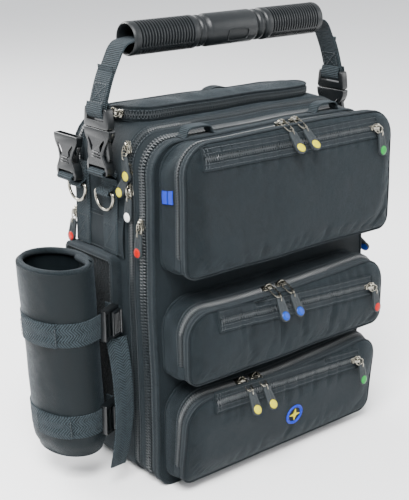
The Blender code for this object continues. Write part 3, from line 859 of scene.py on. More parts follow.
def solid_from(bm, ring, depth, edge=0.0, segments=2):
    """A closed block: a ring of points swept by a vector, with its edges rounded."""
    before = set(bm.verts)
    face = bm.faces.new([bm.verts.new(point) for point in ring])
    swept = bmesh.ops.extrude_face_region(bm, geom=[face])["geom"]
    verts = [item for item in swept if isinstance(item, bmesh.types.BMVert)]
    bmesh.ops.translate(bm, verts=verts, vec=depth)
    if edge:
        made = [vert for vert in bm.verts if vert not in before]
        rims = {item for vert in made for item in vert.link_edges}
        long_run = Vector(depth).normalized()
        rims = [
            item for item in rims
            if abs((item.verts[0].co - item.verts[1].co).normalized().dot(long_run)) < 0.9
        ]
        bmesh.ops.bevel(
            bm, geom=rims, offset=edge, affect="EDGES", segments=segments, profile=0.5, material=-1,
            clamp_overlap=True,
        )
    return bm


def wire(bm, centre, first, second, half_first, half_second, radius, square=4.0, count=24):
    """A closed wire loop: a squared-off oval in the plane of two directions."""
    normal = first.cross(second).normalized()
    line = []
    for index in range(count + 1):
        turn = 2 * math.pi * index / count
        along, up = math.cos(turn), math.sin(turn)
        along = math.copysign(abs(along) ** (2 / square), along) * half_first
        up = math.copysign(abs(up) ** (2 / square), up) * half_second
        line.append(centre + first * along + second * up)
    stations = []
    for index, point in enumerate(line):
        ahead = line[(index + 1) % count] - line[(index - 1) % count]
        stations.append((point, ahead.cross(normal).normalized(), normal))
    sweep(bm, circle(radius, 8), stations)
    return bm


def slider_body(bm, station, scale=1.0):
    """A zip slider: flared shoulders, narrow tail and an arched bridge for the bail."""
    half = [(-0.0055, 0.0022), (-0.0012, 0.0026), (0.0016, 0.0039), (0.0046, 0.0037), (0.0057, 0.0022)]
    shape = [(a, s) for a, s in half] + [(a, -s) for a, s in reversed(half)]
    for low, high, narrow in ((0.0002, 0.0010, 0.82), (0.0008, 0.0028, 0.70), (0.0026, 0.0036, 1.0)):
        points = [(a * scale, s * scale * narrow, low * scale) for a, s in shape]
        ring = basis_points(station, points)
        solid_from(bm, ring, station[2] * (high - low) * scale, 0.00025 * scale, 1)
    arch = [(-0.0040, 0.0032), (-0.0036, 0.0050), (-0.0012, 0.0063), (0.0016, 0.0061), (0.0034, 0.0046), (0.0038, 0.0032)]
    path = basis_points(station, [(a * scale, 0.0, n * scale) for a, n in arch])
    sweep(bm, slab((-0.0012, 0.0012), (-0.0004, 0.0004), 0.0002), through(path, station[2], 4, station[1]))


def slider_piece(name, station, body, stands_for=(), hinge=None, scale=1.0):
    """The nickel slider, and the bail from its bridge to where the pull hangs."""
    bm = bmesh.new()
    slider_body(bm, station, scale)
    if hinge is not None:
        start = station[0] + station[2] * 0.0050 * scale
        reach = hinge - start
        down = reach.normalized()
        across = station[1] if abs(down.dot(station[1])) < 0.5 else station[1].cross(station[2])
        across = (across - down * across.dot(down)).normalized()
        centre = start + reach / 2
        wire(bm, centre, across, down, 0.0036, reach.length / 2 + 0.0012, 0.0006)
    publish(name, bm, nickel_material(), body, "nickel", stands_for=stands_for, soft=False, smooth=32)


PULL_LENGTH = 0.0242
PULL_HALF = 0.0053


def pull_pieces(name, hinge, down, face, tone, body, stands_for=(), length=PULL_LENGTH, link_body=None):
    """A moulded pull tab, its embossed outline, its enamel dot and the link it hangs by."""
    down, face = down.normalized(), face.normalized()
    face = (face - down * face.dot(down)).normalized()
    wide = down.cross(face).normalized()
    thick = 0.0024

    def spot(across, along, out):
        return hinge + wide * across + down * along + face * out

    ring = [(-0.0034, 0.0012), (-0.0043, 0.0030), (-0.0047, 0.0100), (-PULL_HALF, length - 0.0090)]
    turns = [math.pi * step / 8 for step in range(9)]
    ring += [(-PULL_HALF * math.cos(t), length - PULL_HALF + PULL_HALF * math.sin(t)) for t in turns]
    ring += [(PULL_HALF, length - 0.0090), (0.0047, 0.0100), (0.0043, 0.0030), (0.0034, 0.0012)]
    tab = bmesh.new()
    solid_from(tab, [spot(a, d, -thick / 2) for a, d in ring], face * thick, 0.0006, 2)
    for side in (-1, 1):
        for half_width, half_length in ((0.0026, 0.0052), (0.0013, 0.0034)):
            centre = spot(0.0, 0.0112, side * thick / 2)
            wire(tab, centre, wide, down, half_width, half_length, 0.00032, count=20)
        dot_seat = spot(0.0, length - PULL_HALF, side * thick / 2)
        wire(tab, dot_seat, wide, down, 0.0047, 0.0047, 0.00045, square=2.0, count=22)
        wire(tab, spot(0.0, 0.0035, side * thick / 2), wide, down, 0.0015, 0.0014, 0.0004, square=2.0, count=14)
    publish(f"{name}_tab", tab, pull_rubber(), body, "pull_rubber", stands_for=stands_for, soft=False, smooth=35)
    dot = bmesh.new()
    for side in (-1, 1):
        basis = Matrix((wide, down * side, face * side)).transposed().to_4x4()
        place = Matrix.Translation(spot(0.0, length - PULL_HALF, side * (thick / 2 + 0.0003)))
        made = bmesh.ops.create_cone(
            dot, cap_ends=True, segments=24, radius1=0.0045, radius2=0.0042, depth=0.0006, matrix=place @ basis
        )["verts"]
        dot.normal_update()
        crown = max({item for vert in made for item in vert.link_faces}, key=lambda item: item.normal.dot(face) * side)
        bmesh.ops.inset_individual(dot, faces=[crown], thickness=0.0014, depth=0.0004)
    publish(f"{name}_dot", dot, enamel_material(tone), body, "pull_rubber", soft=False, smooth=60)
    eye = bmesh.new()
    wire(eye, spot(0.0, 0.0010, 0.0), down, face, 0.0034, 0.0022, 0.00055, square=2.6, count=18)
    publish(f"{name}_link", eye, nickel_material(), link_body or body, "nickel", soft=False)


def anchored(point):
    """Where a rigid piece sits once the cloth under it has wandered."""
    return give(Vector(point))


def side_station(sign, y, z, lift=0.0):
    """A slider's station on the bag's left (-1) or right (+1) side, its run going up."""
    origin = anchored((sign * (HALF + 0.0004), y, z)) + X_AXIS * sign * lift
    return origin, Y_AXIS * sign, X_AXIS * sign


def swung(tilt):
    """Straight down, turned about X by an angle in degrees."""
    angle = math.radians(tilt)
    return Vector((0.0, math.sin(angle), -math.cos(angle)))


SIDE_SLIDERS = (
    # node of the slider, node of its own pull or None, side, tilt and outward lean of the pull, layers out, dot
    ("fine_zip_slider_lead", "fine_zip_pull_lead", -1, -8.0, 0.0, 0.0022, "yellow"),
    ("fine_zip_slider_second", None, -1, 33.0, 0.02, 0.0004, "yellow"),
    ("fine_zip_slider_third", None, -1, 4.0, 0.02, -0.0008, "white"),
    ("heavy_zip_slider_left", "heavy_zip_pull_left", -1, 3.0, 0.04, 0.0010, "red"),
    ("heavy_zip_slider_right", None, 1, -32.0, 0.50, 0.0010, "blue"),
    ("rear_zip_slider", None, -1, 12.0, 0.04, 0.0010, "red"),
)
SIDE_LINES = {"fine": FINE_ZIP_Y, "heavy": HEAVY_ZIP_Y, "rear": REAR_ZIP_Y + 0.0065}


def make_side_sliders():
    for slider, pull, sign, tilt, lean_out, layer, tone in SIDE_SLIDERS:
        low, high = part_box(slider)
        line = SIDE_LINES[slider.split("_")[0]]
        half_body = 0.0055
        z = (low.z + high.z) / 2 if pull else high.z - half_body
        station = side_station(sign, line, z)
        hinge = station[0] + X_AXIS * sign * (0.0046 + layer) - Z_AXIS * 0.0060
        slider_piece(f"{slider}_body", station, slider, (slider,), hinge)
        lean = X_AXIS * sign
        down = swung(tilt) + lean * lean_out
        if pull:
            pull_pieces(pull, hinge - Z_AXIS * 0.0008, down, lean, tone, pull, (pull,))
        else:
            pull_pieces(slider, hinge - Z_AXIS * 0.0008, down, lean, tone, slider)


# ---------------------------------------------------------------- modules

BODY = outline((-HALF, HALF), (0.0, HEIGHT), BASE_RADIUS, TOP_RADIUS)
ZIP_FOOT = 0.014  # the zips stop this far above the base


def outward(point, centre, half_x, half_z):
    """Direction out of a box-like ring of cloth, smooth round its corners."""
    across = (point.x - centre.x) / half_x
    up = (point.z - centre.z) / half_z
    return Vector((across ** 7, 0.0, up ** 7)).normalized()


def crease(bm, centre, half_x, half_z, y_span, size, amount):
    """Pushes a ring of cloth in and out in soft folds that die away at its seams."""
    y0, y1 = y_span
    for vert in bm.verts:
        share = (vert.co.y - y0) / (y1 - y0)
        if not 0.0 < share < 1.0:
            continue
        spot = Vector((vert.co.x * size, vert.co.y * size * 0.45, vert.co.z * size))
        fold = 0.28 - abs(noise.noise(spot))
        reach = math.sin(math.pi * share) * ease(vert.co.z / 0.02)
        vert.co += outward(vert.co, centre, half_x, half_z) * fold * amount * reach


def body_ring(name, y_span, crown, finish, body, stands_for=(), count=14, folds=0.002, wall=0.0035):
    """A padded band of cloth right round the bag."""
    bm = sweep(bmesh.new(), crowned(y_span, crown, wall, count), at_depth(BODY, 0.0))
    centre = Vector((0.0, 0.0, HEIGHT / 2))
    crease(bm, centre, HALF, HEIGHT / 2, y_span, 26.0, folds)
    return publish(name, bm, finish, body, "nylon", stands_for=stands_for)


def piped_edge(name, marks, y, body, radius, lift=0.0, finish=None, **words):
    bm = sweep(bmesh.new(), circle(radius, 8), at_depth(marks, y, lift))
    return publish(name, bm, finish or binding(), body, "nylon", **words)


def flat_outline(x_span, y_span, radius, step=0.008):
    """The same as outline, lying flat: (point, out) pairs in the XY plane."""
    return [
        (Vector((point.x, point.z, 0.0)), Vector((out.x, out.z, 0.0)))
        for point, out in outline(x_span, y_span, radius, radius, step)
    ]


def at_height(marks, z, lift=0.0):
    return [(point + out * lift + Z_AXIS * z, Z_AXIS, out) for point, out in marks]


def make_rear_module():
    y_span = (FINE_ZIP_Y + 0.0056, REAR_ZIP_Y - 0.0050)
    shell = body_ring("rear_module_cloth", y_span, 0.0012, nylon(), "rear_module", ("rear_shell",), 22, 0.0016)
    mouth_x, mouth_y = (-0.104, 0.098), (0.0165, 0.0585)
    cutter = bmesh.new()
    mouth = flat_outline(mouth_x, mouth_y, 0.015)
    solid_from(cutter, [point + Z_AXIS * (HEIGHT - 0.02) for point, _out in mouth[:-1]], Z_AXIS * 0.04)
    carve(shell, cutter)
    sweep_piece(
        "top_mouth_binding", slab((-0.0042, 0.0014), (-0.0008, 0.0034), 0.0006), at_height(mouth, HEIGHT),
        binding(), "rear_module", "nylon",
    )
    inner = outline((-HALF + 0.0034, HALF - 0.0034), (0.0034, HEIGHT - 0.0034), 0.017, 0.027)
    wall = plate(bmesh.new(), inner, REAR_ZIP_Y - 0.0046, REAR_ZIP_Y - 0.0012)
    publish("rear_inner_wall", wall, lining(), "rear_module", "nylon")
    stations = at_depth(BODY, FINE_ZIP_Y, 0.0, ZIP_FOOT)
    zip_half("fine_zip_rear_half", stations, 1, "fine", "rear_module")
    zip_half("rear_zip_front_half", at_depth(BODY, REAR_ZIP_Y, 0.0, ZIP_FOOT), -1, "fine", "rear_module")
    bm = bmesh.new()
    for y in (y_span[0] + 0.0012, y_span[1] - 0.0012):
        sweep(bm, circle(0.0011, 8), at_depth(BODY, y, 0.0004))
    publish("rear_module_seams", bm, binding(), "rear_module", "nylon")
    for name, y, width in (("fine_zip_base", FINE_ZIP_Y + 0.0030, 0.0030), ("rear_zip_base", REAR_ZIP_Y - 0.0030, 0.0024)):
        foot = [mark for mark in at_depth(BODY[-60:] + BODY[1:60], y) if mark[0].z <= ZIP_FOOT + 0.004]
        sweep_piece(f"{name}_tape", slab((-width, width), (-0.0030, 0.0001), 0.0003), foot, tape(), "rear_module", "nylon")


def make_rear_panel():
    """The padded back: a piped rim, a quilted face and its half of the rear zip."""
    marks = outline((-HALF + 0.001, HALF - 0.001), (PANEL_LOW.z, HEIGHT - 0.001), BASE_RADIUS - 0.001, TOP_RADIUS - 0.001)
    rim = sweep(bmesh.new(), crowned((REAR_ZIP_Y + 0.0045, REAR_Y - 0.0012), 0.0006, 0.003, 4), at_depth(marks, 0.0))
    publish("rear_panel_rim", rim, gusset_cloth(), "rear_panel", "nylon")
    zip_half("rear_zip_rear_half", at_depth(marks, REAR_ZIP_Y, 0.0, ZIP_FOOT + 0.004), 1, "fine", "rear_panel")
    piped_edge("rear_panel_piping", marks, REAR_Y - 0.0012, "rear_panel", sizes().piping)
    lining_plate = plate(bmesh.new(), outline(
        (-HALF + 0.004, HALF - 0.004), (PANEL_LOW.z + 0.003, HEIGHT - 0.004), 0.016, 0.026
    ), REAR_ZIP_Y + 0.0006, REAR_ZIP_Y + 0.0022)
    publish("rear_panel_lining", lining_plate, lining(), "rear_panel", "nylon")
    x_span, z_span = (-HALF + 0.0016, HALF - 0.0016), (PANEL_LOW.z + 0.0006, HEIGHT - 0.0016)
    channels = [z_span[0] + (z_span[1] - z_span[0]) * share for share in (0.25, 0.5, 0.75)]
    face = panel_sheet(x_span, z_span, 0.018, 0.028, 0.0046)
    for vert in face.verts:
        edge = min(vert.co.x - x_span[0], x_span[1] - vert.co.x, vert.co.z - z_span[0], z_span[1] - vert.co.z)
        quilt = min(abs(vert.co.z - z) for z in channels)
        puff = ease(edge / 0.030) * (0.35 + 0.65 * ease(quilt / 0.016))
        vert.co.y = REAR_Y - 0.0026 + 0.0052 * puff + rumple(vert.co, 24.0, 0.0012) * puff
    thicken(face, 0.0040, Vector((0, -1, 0)))
    publish("rear_panel_pad", face, nylon(), "rear_panel", "nylon", stands_for=("rear_panel",))
    runs = [
        straight((x_span[0] + 0.010, REAR_Y - 0.0006, z), (x_span[1] - 0.010, REAR_Y - 0.0006, z), (0, 1, 0))
        for z in channels
    ]
    stitched_piece("rear_panel_quilting", runs, "rear_panel")


def corner_pull(across, up, across_span, up_span, base, top):
    """Moves a point of a square-cornered sheet so that the sheet's corners become round."""
    (a0, a1), (u0, u1) = across_span, up_span
    radius = top if up > (u0 + u1) / 2 else base
    near_a = a1 - radius if across > (a0 + a1) / 2 else a0 + radius
    near_u = u1 - radius if up > (u0 + u1) / 2 else u0 + radius
    a = (across - near_a) / radius
    u = (up - near_u) / radius
    sign_a = 1 if near_a > (a0 + a1) / 2 else -1
    sign_u = 1 if near_u > (u0 + u1) / 2 else -1
    if a * sign_a <= 0 or u * sign_u <= 0:
        return across, up
    return near_a + radius * a * math.sqrt(1 - u * u / 2), near_u + radius * u * math.sqrt(1 - a * a / 2)


def panel_sheet(x_span, z_span, base, top, step, y=0.0):
    """An upright sheet of even faces with round corners, at depth y."""
    bm = bmesh.new()
    columns = round((x_span[1] - x_span[0]) / step)
    rows = round((z_span[1] - z_span[0]) / step)
    bmesh.ops.create_grid(bm, x_segments=columns, y_segments=rows, size=0.5)
    for vert in bm.verts:
        across = x_span[0] + (vert.co.x + 0.5) * (x_span[1] - x_span[0])
        up = z_span[0] + (vert.co.y + 0.5) * (z_span[1] - z_span[0])
        across, up = corner_pull(across, up, x_span, z_span, base, top)
        vert.co = (across, y, up)
    return bm


def thicken(bm, depth, direction):
    """Gives a sheet a back and a rim: its faces swept by a depth."""
    swept = bmesh.ops.extrude_face_region(bm, geom=list(bm.faces), use_keep_orig=True)["geom"]
    verts = [item for item in swept if isinstance(item, bmesh.types.BMVert)]
    bmesh.ops.translate(bm, verts=verts, vec=direction * depth)
    return bm


def make_centre_band():
    y_span = (HEAVY_ZIP_Y + 0.0050, FINE_ZIP_Y - 0.0040)
    body_ring("centre_band_cloth", y_span, 0.0006, gusset_cloth(), "centre_band", ("centre_band",), 6, 0.0006)
    zip_half("fine_zip_front_half", at_depth(BODY, FINE_ZIP_Y, 0.0, ZIP_FOOT), -1, "fine", "centre_band", tight=True)
    zip_half("heavy_zip_rear_half", at_depth(BODY, HEAVY_ZIP_Y, 0.0, ZIP_FOOT), 1, "heavy", "centre_band", tight=True)
    base = [mark for mark in at_depth(BODY[-60:] + BODY[1:60], 0.0) if mark[0].z <= ZIP_FOOT + 0.004]
    spans = (("fine_zip_base_front", FINE_ZIP_Y - 0.0042, FINE_ZIP_Y), ("heavy_zip_base", HEAVY_ZIP_Y, HEAVY_ZIP_Y + 0.0052))
    for name, y0, y1 in spans:
        sweep_piece(f"{name}_tape", slab((y0, y1), (-0.0030, 0.0001), 0.0003), base, tape(), "centre_band", "nylon")
    fold = 0.0024
    hinge = sweep(bmesh.new(), slab((FINE_ZIP_Y - 0.0030, FINE_ZIP_Y + 0.0030), (-0.0036, -0.0031)), base)
    publish(
        "main_opening_hinge_cloth", hinge, lining(), "centre_band", "nylon",
        bend=("centre_band", "rear_module", (0, FINE_ZIP_Y - fold, 0), (0, FINE_ZIP_Y + fold, 0)),
    )


def make_front_module():
    y_span = (FRONT_Y + 0.0006, HEAVY_ZIP_Y - 0.0050)
    body_ring("front_module_cloth", y_span, 0.0005, gusset_cloth(), "front_module", ("front_shell",), 6, 0.0004)
    zip_half("heavy_zip_front_half", at_depth(BODY, HEAVY_ZIP_Y, 0.0, ZIP_FOOT), -1, "heavy", "front_module", tight=True)
    base = [mark for mark in at_depth(BODY[-60:] + BODY[1:60], 0.0) if mark[0].z <= ZIP_FOOT + 0.004]
    foot = slab((HEAVY_ZIP_Y - 0.0054, HEAVY_ZIP_Y), (-0.0030, 0.0001), 0.0003)
    sweep_piece("heavy_zip_base_front_tape", foot, base, tape(), "front_module", "nylon")
    sweep_piece(
        "front_module_twill", slab((FRONT_Y + 0.0022, HEAVY_ZIP_Y - 0.0056), (0.0002, 0.0013), 0.0003),
        at_depth(BODY, 0.0), binding(), "front_module", "webbing",
    )
    piped_edge("front_module_piping", BODY, FRONT_Y + 0.0010, "front_module", sizes().piping, 0.0004)
    face = panel_sheet((-HALF + 0.001, HALF - 0.001), (0.001, HEIGHT - 0.001), 0.019, 0.029, 0.0070, FRONT_Y)
    for vert in face.verts:
        vert.co.y += rumple(vert.co, 20.0, 0.0010) * ease(vert.co.z / 0.03)
    thicken(face, 0.0034, Y_AXIS)
    publish("front_module_face", face, nylon(), "front_module", "nylon")
    rows = [at_depth(BODY, FRONT_Y + 0.0036, 0.0013), at_depth(BODY, HEAVY_ZIP_Y - 0.0068, 0.0013)]
    stitched_piece("front_module_seams", rows, "front_module", 0.0001)


# ---------------------------------------------------------------- pockets

LID_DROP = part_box("upper_pocket_shell")[1].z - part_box("upper_pocket_lid")[1].z
LID_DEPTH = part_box("upper_pocket_lid")[1].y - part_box("upper_pocket_lid")[0].y
POCKET_KEEP = {"upper": 1.0, "middle": 1.0, "lower": 0.70}  # depth kept at each pocket's base
POCKET_DROOP = {"upper": (0.0, 0.0), "middle": (0.0045, -0.0030), "lower": (0.0050, -0.0025)}  # middle and right end
POCKET_LID_DROP = {"upper": 0.2, "middle": 0.8, "lower": 0.9}  # share of the lid's step down that each front keeps
POCKET_BASE_RADIUS = 0.012
POCKET_TOP_RADIUS = 0.028
# how much wider a pocket's front is than its seam
POCKET_FLARE = {"upper": 0.014, "middle": -0.006, "lower": -0.006}
SLASH_RUNS = {
    # pocket: left end and right end of the slash zip, as (x, height above the pocket's base)
    "upper": ((-0.1155, 0.109), (0.104, 0.107)),
    "middle": ((-0.096, 0.058), (0.106, 0.046)),
    "lower": ((-0.098, 0.081), (0.096, 0.071)),
}


def pocket_span(name):
    """A pocket's base z, top z, half width, and the depths of its zip and of its front."""
    low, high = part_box(f"{name}_pocket_shell")
    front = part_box(f"{name}_pocket_lid")[0].y
    return low.z, high.z, high.x, front + LID_DEPTH, front


def pocket_shape(name):
    """Turns a plain box pocket into the real one: lower lid edge, thinner base and drooping top."""
    base, top, half, split, _front = pocket_span(name)
    keep = POCKET_KEEP[name]
    middle_droop, end_droop = POCKET_DROOP[name]

    def shape(point):
        x, y, z = point
        rise = min(max((z - base) / (top - base), 0.0), 1.1)
        forward = ease((split + 0.007 - y) / 0.013)
        z -= LID_DROP * POCKET_LID_DROP[name] * forward * rise
        x *= 1 + POCKET_FLARE[name] * forward
        y = FRONT_Y + (y - FRONT_Y) * (keep + (1 - keep) * min(rise, 1.0))
        share = min(max((x + half) / (2 * half), 0.0), 1.0)
        droop = middle_droop * math.sin(math.pi * share) + end_droop * ease(share)
        z -= droop * rise * rise * ease((FRONT_Y - y) / 0.02)
        return Vector((x, y, z))

    return shape


def pocket_marks(name, lift=0.0):
    base, top, half, _split, _front = pocket_span(name)
    marks = outline((-half, half), (base, top), POCKET_BASE_RADIUS, POCKET_TOP_RADIUS, 0.006)
    return [(point + out * lift, out) for point, out in marks]


def settle(bm, fixed, frames, slack, cap, pull):
    """Cloth simulation: the sheet hangs from its fixed vertices with some slack, and its points are moved back."""
    mesh = bpy.data.meshes.new("settling")
    bm.verts.index_update()
    bm.to_mesh(mesh)
    hung = link("settling", mesh)
    group = hung.vertex_groups.new(name="fixed")
    group.add([vert.index for vert in fixed], 1.0, "REPLACE")
    cloth = hung.modifiers.new("cloth", "CLOTH")
    wear = cloth.settings
    wear.quality = 7
    wear.mass = 0.22
    wear.tension_stiffness = 22.0
    wear.compression_stiffness = 22.0
    wear.shear_stiffness = 9.0
    wear.bending_stiffness = 1.2
    wear.air_damping = 2.0
    wear.vertex_group_mass = "fixed"
    wear.shrink_min = -slack
    scene = bpy.context.scene
    usual = scene.gravity.copy()
    scene.gravity = pull
    cloth.point_cache.frame_end = frames
    for count in range(1, frames + 1):
        scene.frame_set(count)
    graph = bpy.context.evaluated_depsgraph_get()
    result = hung.evaluated_get(graph).to_mesh()
    for vert in bm.verts:
        move = result.vertices[vert.index].co - vert.co
        vert.co += move * min(1.0, cap / max(move.length, 1e-9))
    scene.gravity = usual
    scene.frame_set(1)
    bpy.data.objects.remove(hung)


def make_pocket(name):
    base, top, half, split, front = pocket_span(name)
    shape = pocket_shape(name)
    marks = pocket_marks(name)
    lid = f"{name}_lid"
    centre = Vector((0.0, 0.0, (base + top) / 2))

    y_span = (split + 0.0050, FRONT_Y - 0.0004)
    gusset = sweep(bmesh.new(), crowned(y_span, 0.0012, 0.0014, 12, 0.0, 0.5), at_depth(marks, 0.0))
    crease(gusset, centre, half, (top - base) / 2, y_span, 34.0, 0.0050)
    publish(
        f"{name}_pocket_gusset", gusset, gusset_cloth(), "front_module", "nylon", shape=shape,
        stands_for=(f"{name}_pocket_shell",),
    )
    cord = sweep(bmesh.new(), circle(0.0013, 8), at_depth(marks, FRONT_Y - 0.0012, 0.0006))
    publish(f"{name}_pocket_piping", cord, binding(), "front_module", "nylon", shape=shape)

    zipped = at_depth(marks, split, 0.0, base + 0.011)
    zip_half(f"{name}_zip_gusset_half", zipped, 1, "fine", "front_module", shape=shape)
    zip_half(f"{name}_zip_lid_half", zipped, -1, "fine", lid, shape=shape, tight=True)
    hem = [mark for mark in at_depth(marks[-40:] + marks[1:40], 0.0) if mark[0].z <= base + 0.013]
    lower_split = (shape(Vector((0, split + 0.0046, base))), shape(Vector((0, split - 0.0046, base))))
    hinge = sweep(bmesh.new(), slab((split - 0.0056, split + 0.0060), (-0.0008, 0.0004), 0.0003), hem)
    publish(
        f"{name}_pocket_hinge_cloth", hinge, gusset_cloth(), lid, "nylon", shape=shape,
        bend=("front_module", lid, *lower_split),
    )

    band = sweep(bmesh.new(), slab((front + 0.0022, split - 0.0042), (-0.0014, 0.0010), 0.0005), at_depth(marks, 0.0))
    publish(f"{name}_pocket_binding", band, binding(), lid, "nylon", shape=shape)
    stitched_piece(
        f"{name}_pocket_seams", [at_depth(marks, front + 0.0034, 0.0010), at_depth(marks, split - 0.0052, 0.0010)],
        lid, 0.0001, shape=shape,
    )
    make_pocket_front(name, shape)
    make_pocket_tips(name, shape)


def make_pocket_front(name, shape):
    """The pocket's front cloth, hung from its seams by simulation, and the seam cord round it."""
    base, top, half, _split, front = pocket_span(name)
    sheet = panel_sheet(
        (-half + 0.0004, half - 0.0004), (base + 0.0004, top - 0.0004), POCKET_BASE_RADIUS,
        POCKET_TOP_RADIUS, 0.0040, front,
    )
    rim = [vert for vert in sheet.verts if vert.is_boundary]
    settle(sheet, rim, sizes().drape_frames, 0.022, 0.0065, (0.35, -5.0, -7.5))
    for vert in sheet.verts:
        reach = min(half - abs(vert.co.x), vert.co.z - base, top - vert.co.z)
        vert.co.y += 0.0022 * (1 - ease(reach / 0.0070)) ** 1.5
    edges = [edge for edge in sheet.edges if edge.is_boundary]
    swept = bmesh.ops.extrude_edge_only(sheet, edges=edges)["geom"]
    verts = [item for item in swept if isinstance(item, bmesh.types.BMVert)]
    bmesh.ops.translate(sheet, verts=verts, vec=(0, 0.0036, 0))
    bmesh.ops.recalc_face_normals(sheet, faces=sheet.faces)
    bmesh.ops.solidify(sheet, geom=list(sheet.faces), thickness=0.0016)
    piece = publish(
        f"{name}_pocket_front", sheet, nylon(), f"{name}_lid", "nylon", shape=shape,
        stands_for=(f"{name}_pocket_lid",), smooth=60,
    )
    marks = pocket_marks(name)
    cord = sweep(bmesh.new(), circle(0.0010, 8), at_depth(marks, front + 0.0022, 0.0004))
    publish(f"{name}_pocket_cord", cord, tape(), f"{name}_lid", "nylon", shape=shape)
    make_slash_zip(name, piece, shape)
    return piece


def make_pocket_tips(name, shape):
    """The folded fabric ends that close the main zip at the pocket's lower corners."""
    base, _top, half, split, _front = pocket_span(name)
    tips = bmesh.new()
    for sign in (-1, 1):
        low = Vector((sign * half, split, base + 0.0075))
        stations = [(low + Z_AXIS * rise, Y_AXIS, X_AXIS * sign) for rise in (0.0, 0.004, 0.008, 0.011)]
        sweep(tips, slab((-0.0052, 0.0052), (0.0004, 0.0022), 0.0006), stations)
    publish(f"{name}_zip_tips", tips, binding(), "front_module", "nylon", shape=shape)


def make_slash_zip(name, front_piece, shape):
    """The slanted zip set into a pocket's front: welt, tapes, teeth and end stitching, laid on the cloth."""
    base, _top, _half, _split, front = pocket_span(name)
    probe = height_over([front_piece])
    (x0, rise0), (x1, rise1) = SLASH_RUNS[name]
    start, end = Vector((x0, 0.0, base + rise0)), Vector((x1, 0.0, base + rise1))
    run = straight(start, end, (0, -1, 0), 0.004)
    side = run[0][1]
    body = f"{name}_lid"

    def lay(bm):
        """Moves a flat layout so that y = 0 lies on the pocket's cloth."""
        for vert in bm.verts:
            vert.co.y += probe(vert.co.x, vert.co.z, front)
        return bm

    tape_width, reach, rise = 0.0100, 0.0032, 0.0017
    for turn in (-1, 1):
        welt = sweep(bmesh.new(), slab((turn * 0.0012, turn * tape_width), (-0.0005, 0.0008), 0.0003), run)
        publish(f"{name}_slash_tape_{'upper' if turn > 0 else 'lower'}", lay(welt), tape(), body, "nylon", soft=False)
    edge = bmesh.new()
    for turn in (-1, 1):
        for shift in (0.0026, tape_width):
            sweep(edge, circle(0.0007, 6, (turn * shift, 0.0007)), run)
    for mark in (run[0], run[-1]):
        across = [(mark[0] + side * s, (end - start).normalized(), mark[2]) for s in (-0.0100, -0.0033, 0.0033, 0.0100)]
        sweep(edge, slab((-0.0011, 0.0011), (-0.0003, 0.0014), 0.0004), across)
    publish(f"{name}_slash_welt", lay(edge), gusset_cloth(), body, "nylon", soft=False)
    teeth = bmesh.new()
    pitch = sizes().fine_pitch
    for turn, begin in ((-1, pitch * 0.5), (1, pitch)):
        for station in walk(run, pitch, begin + 0.0015):
            rod(teeth, station, reach, rise * 0.42, (0.0, turn * (reach / 2 - 0.0008), 0.0012), across=True)
    publish(f"{name}_slash_teeth", lay(teeth), tooth_plastic(), body, "moulded_plastic", soft=False, smooth=70)
    seams = bmesh.new()
    for turn in (-1, 1):
        stitches(seams, run, 0.0010, turn * (tape_width - 0.0016), 0.0007)
        stitches(seams, run, 0.0010, turn * 0.0045, 0.0006)
    for inset in (0.0025, 0.0060):
        foot = start + (end - start).normalized() * inset
        stitches(seams, straight(foot - side * 0.0090, foot + side * 0.0090, (0, -1, 0)), 0.0014, 0.0, 0.0008)
    publish(f"{name}_slash_stitches", lay(seams), seam_thread(), body, "webbing", soft=False)

    slider = f"{name}_slash_slider"
    low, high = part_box(slider)
    x = min((low.x + high.x) / 2, x1 - 0.004)
    share = (x - x0) / (x1 - x0)
    z = start.z + (end.z - start.z) * share
    place = Vector((x - 0.002, probe(x, z, front) - 0.0008, z))
    station = (place, side, Vector((0, -1, 0)))
    hinge = place + Vector((0.0060, -0.0050, -0.0035))
    slider_piece(f"{slider}_body", station, slider, (slider,), hinge)
    tone = "red" if name == "middle" else "green"
    pull_pieces(slider, hinge + Vector((0, 0, -0.0006)), Vector((0.10, -0.07, -1)), Vector((0.1, -1, 0)), tone, slider)


def make_pocket_sliders(name):
    """The two sliders of a pocket's main zip, their bails and hanging pulls."""
    base, top, _half, split, front = pocket_span(name)
    shape = pocket_shape(name)
    lean = math.radians(44 if name == "upper" else 30)
    tone = "blue" if name == "middle" else "yellow"
    for side, swing in (("left", -3.0), ("right", 2.5)):
        slider, pull = f"{name}_zip_slider_{side}", f"{name}_zip_pull_{side}"
        low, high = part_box(slider)
        x = (low.x + high.x) / 2
        place = anchored(shape(Vector((x, split - 0.0006, top)))) + Z_AXIS * 0.0006
        hinge = Vector((x, front - 0.0050, place.z - 0.0020))
        turn = -1 if side == "left" else 1
        station = (place, Y_AXIS * turn, Vector((0, -0.30, 1)).normalized())
        slider_piece(f"{slider}_body", station, slider, (slider,), hinge)
        down = Vector((math.sin(math.radians(swing)), -math.sin(lean), -math.cos(lean)))
        face = Vector((0.0, -math.cos(lean), math.sin(lean)))
        pull_pieces(pull, hinge + down * 0.0008, down, face, tone, pull, (pull,))


# ---------------------------------------------------------------- top lid


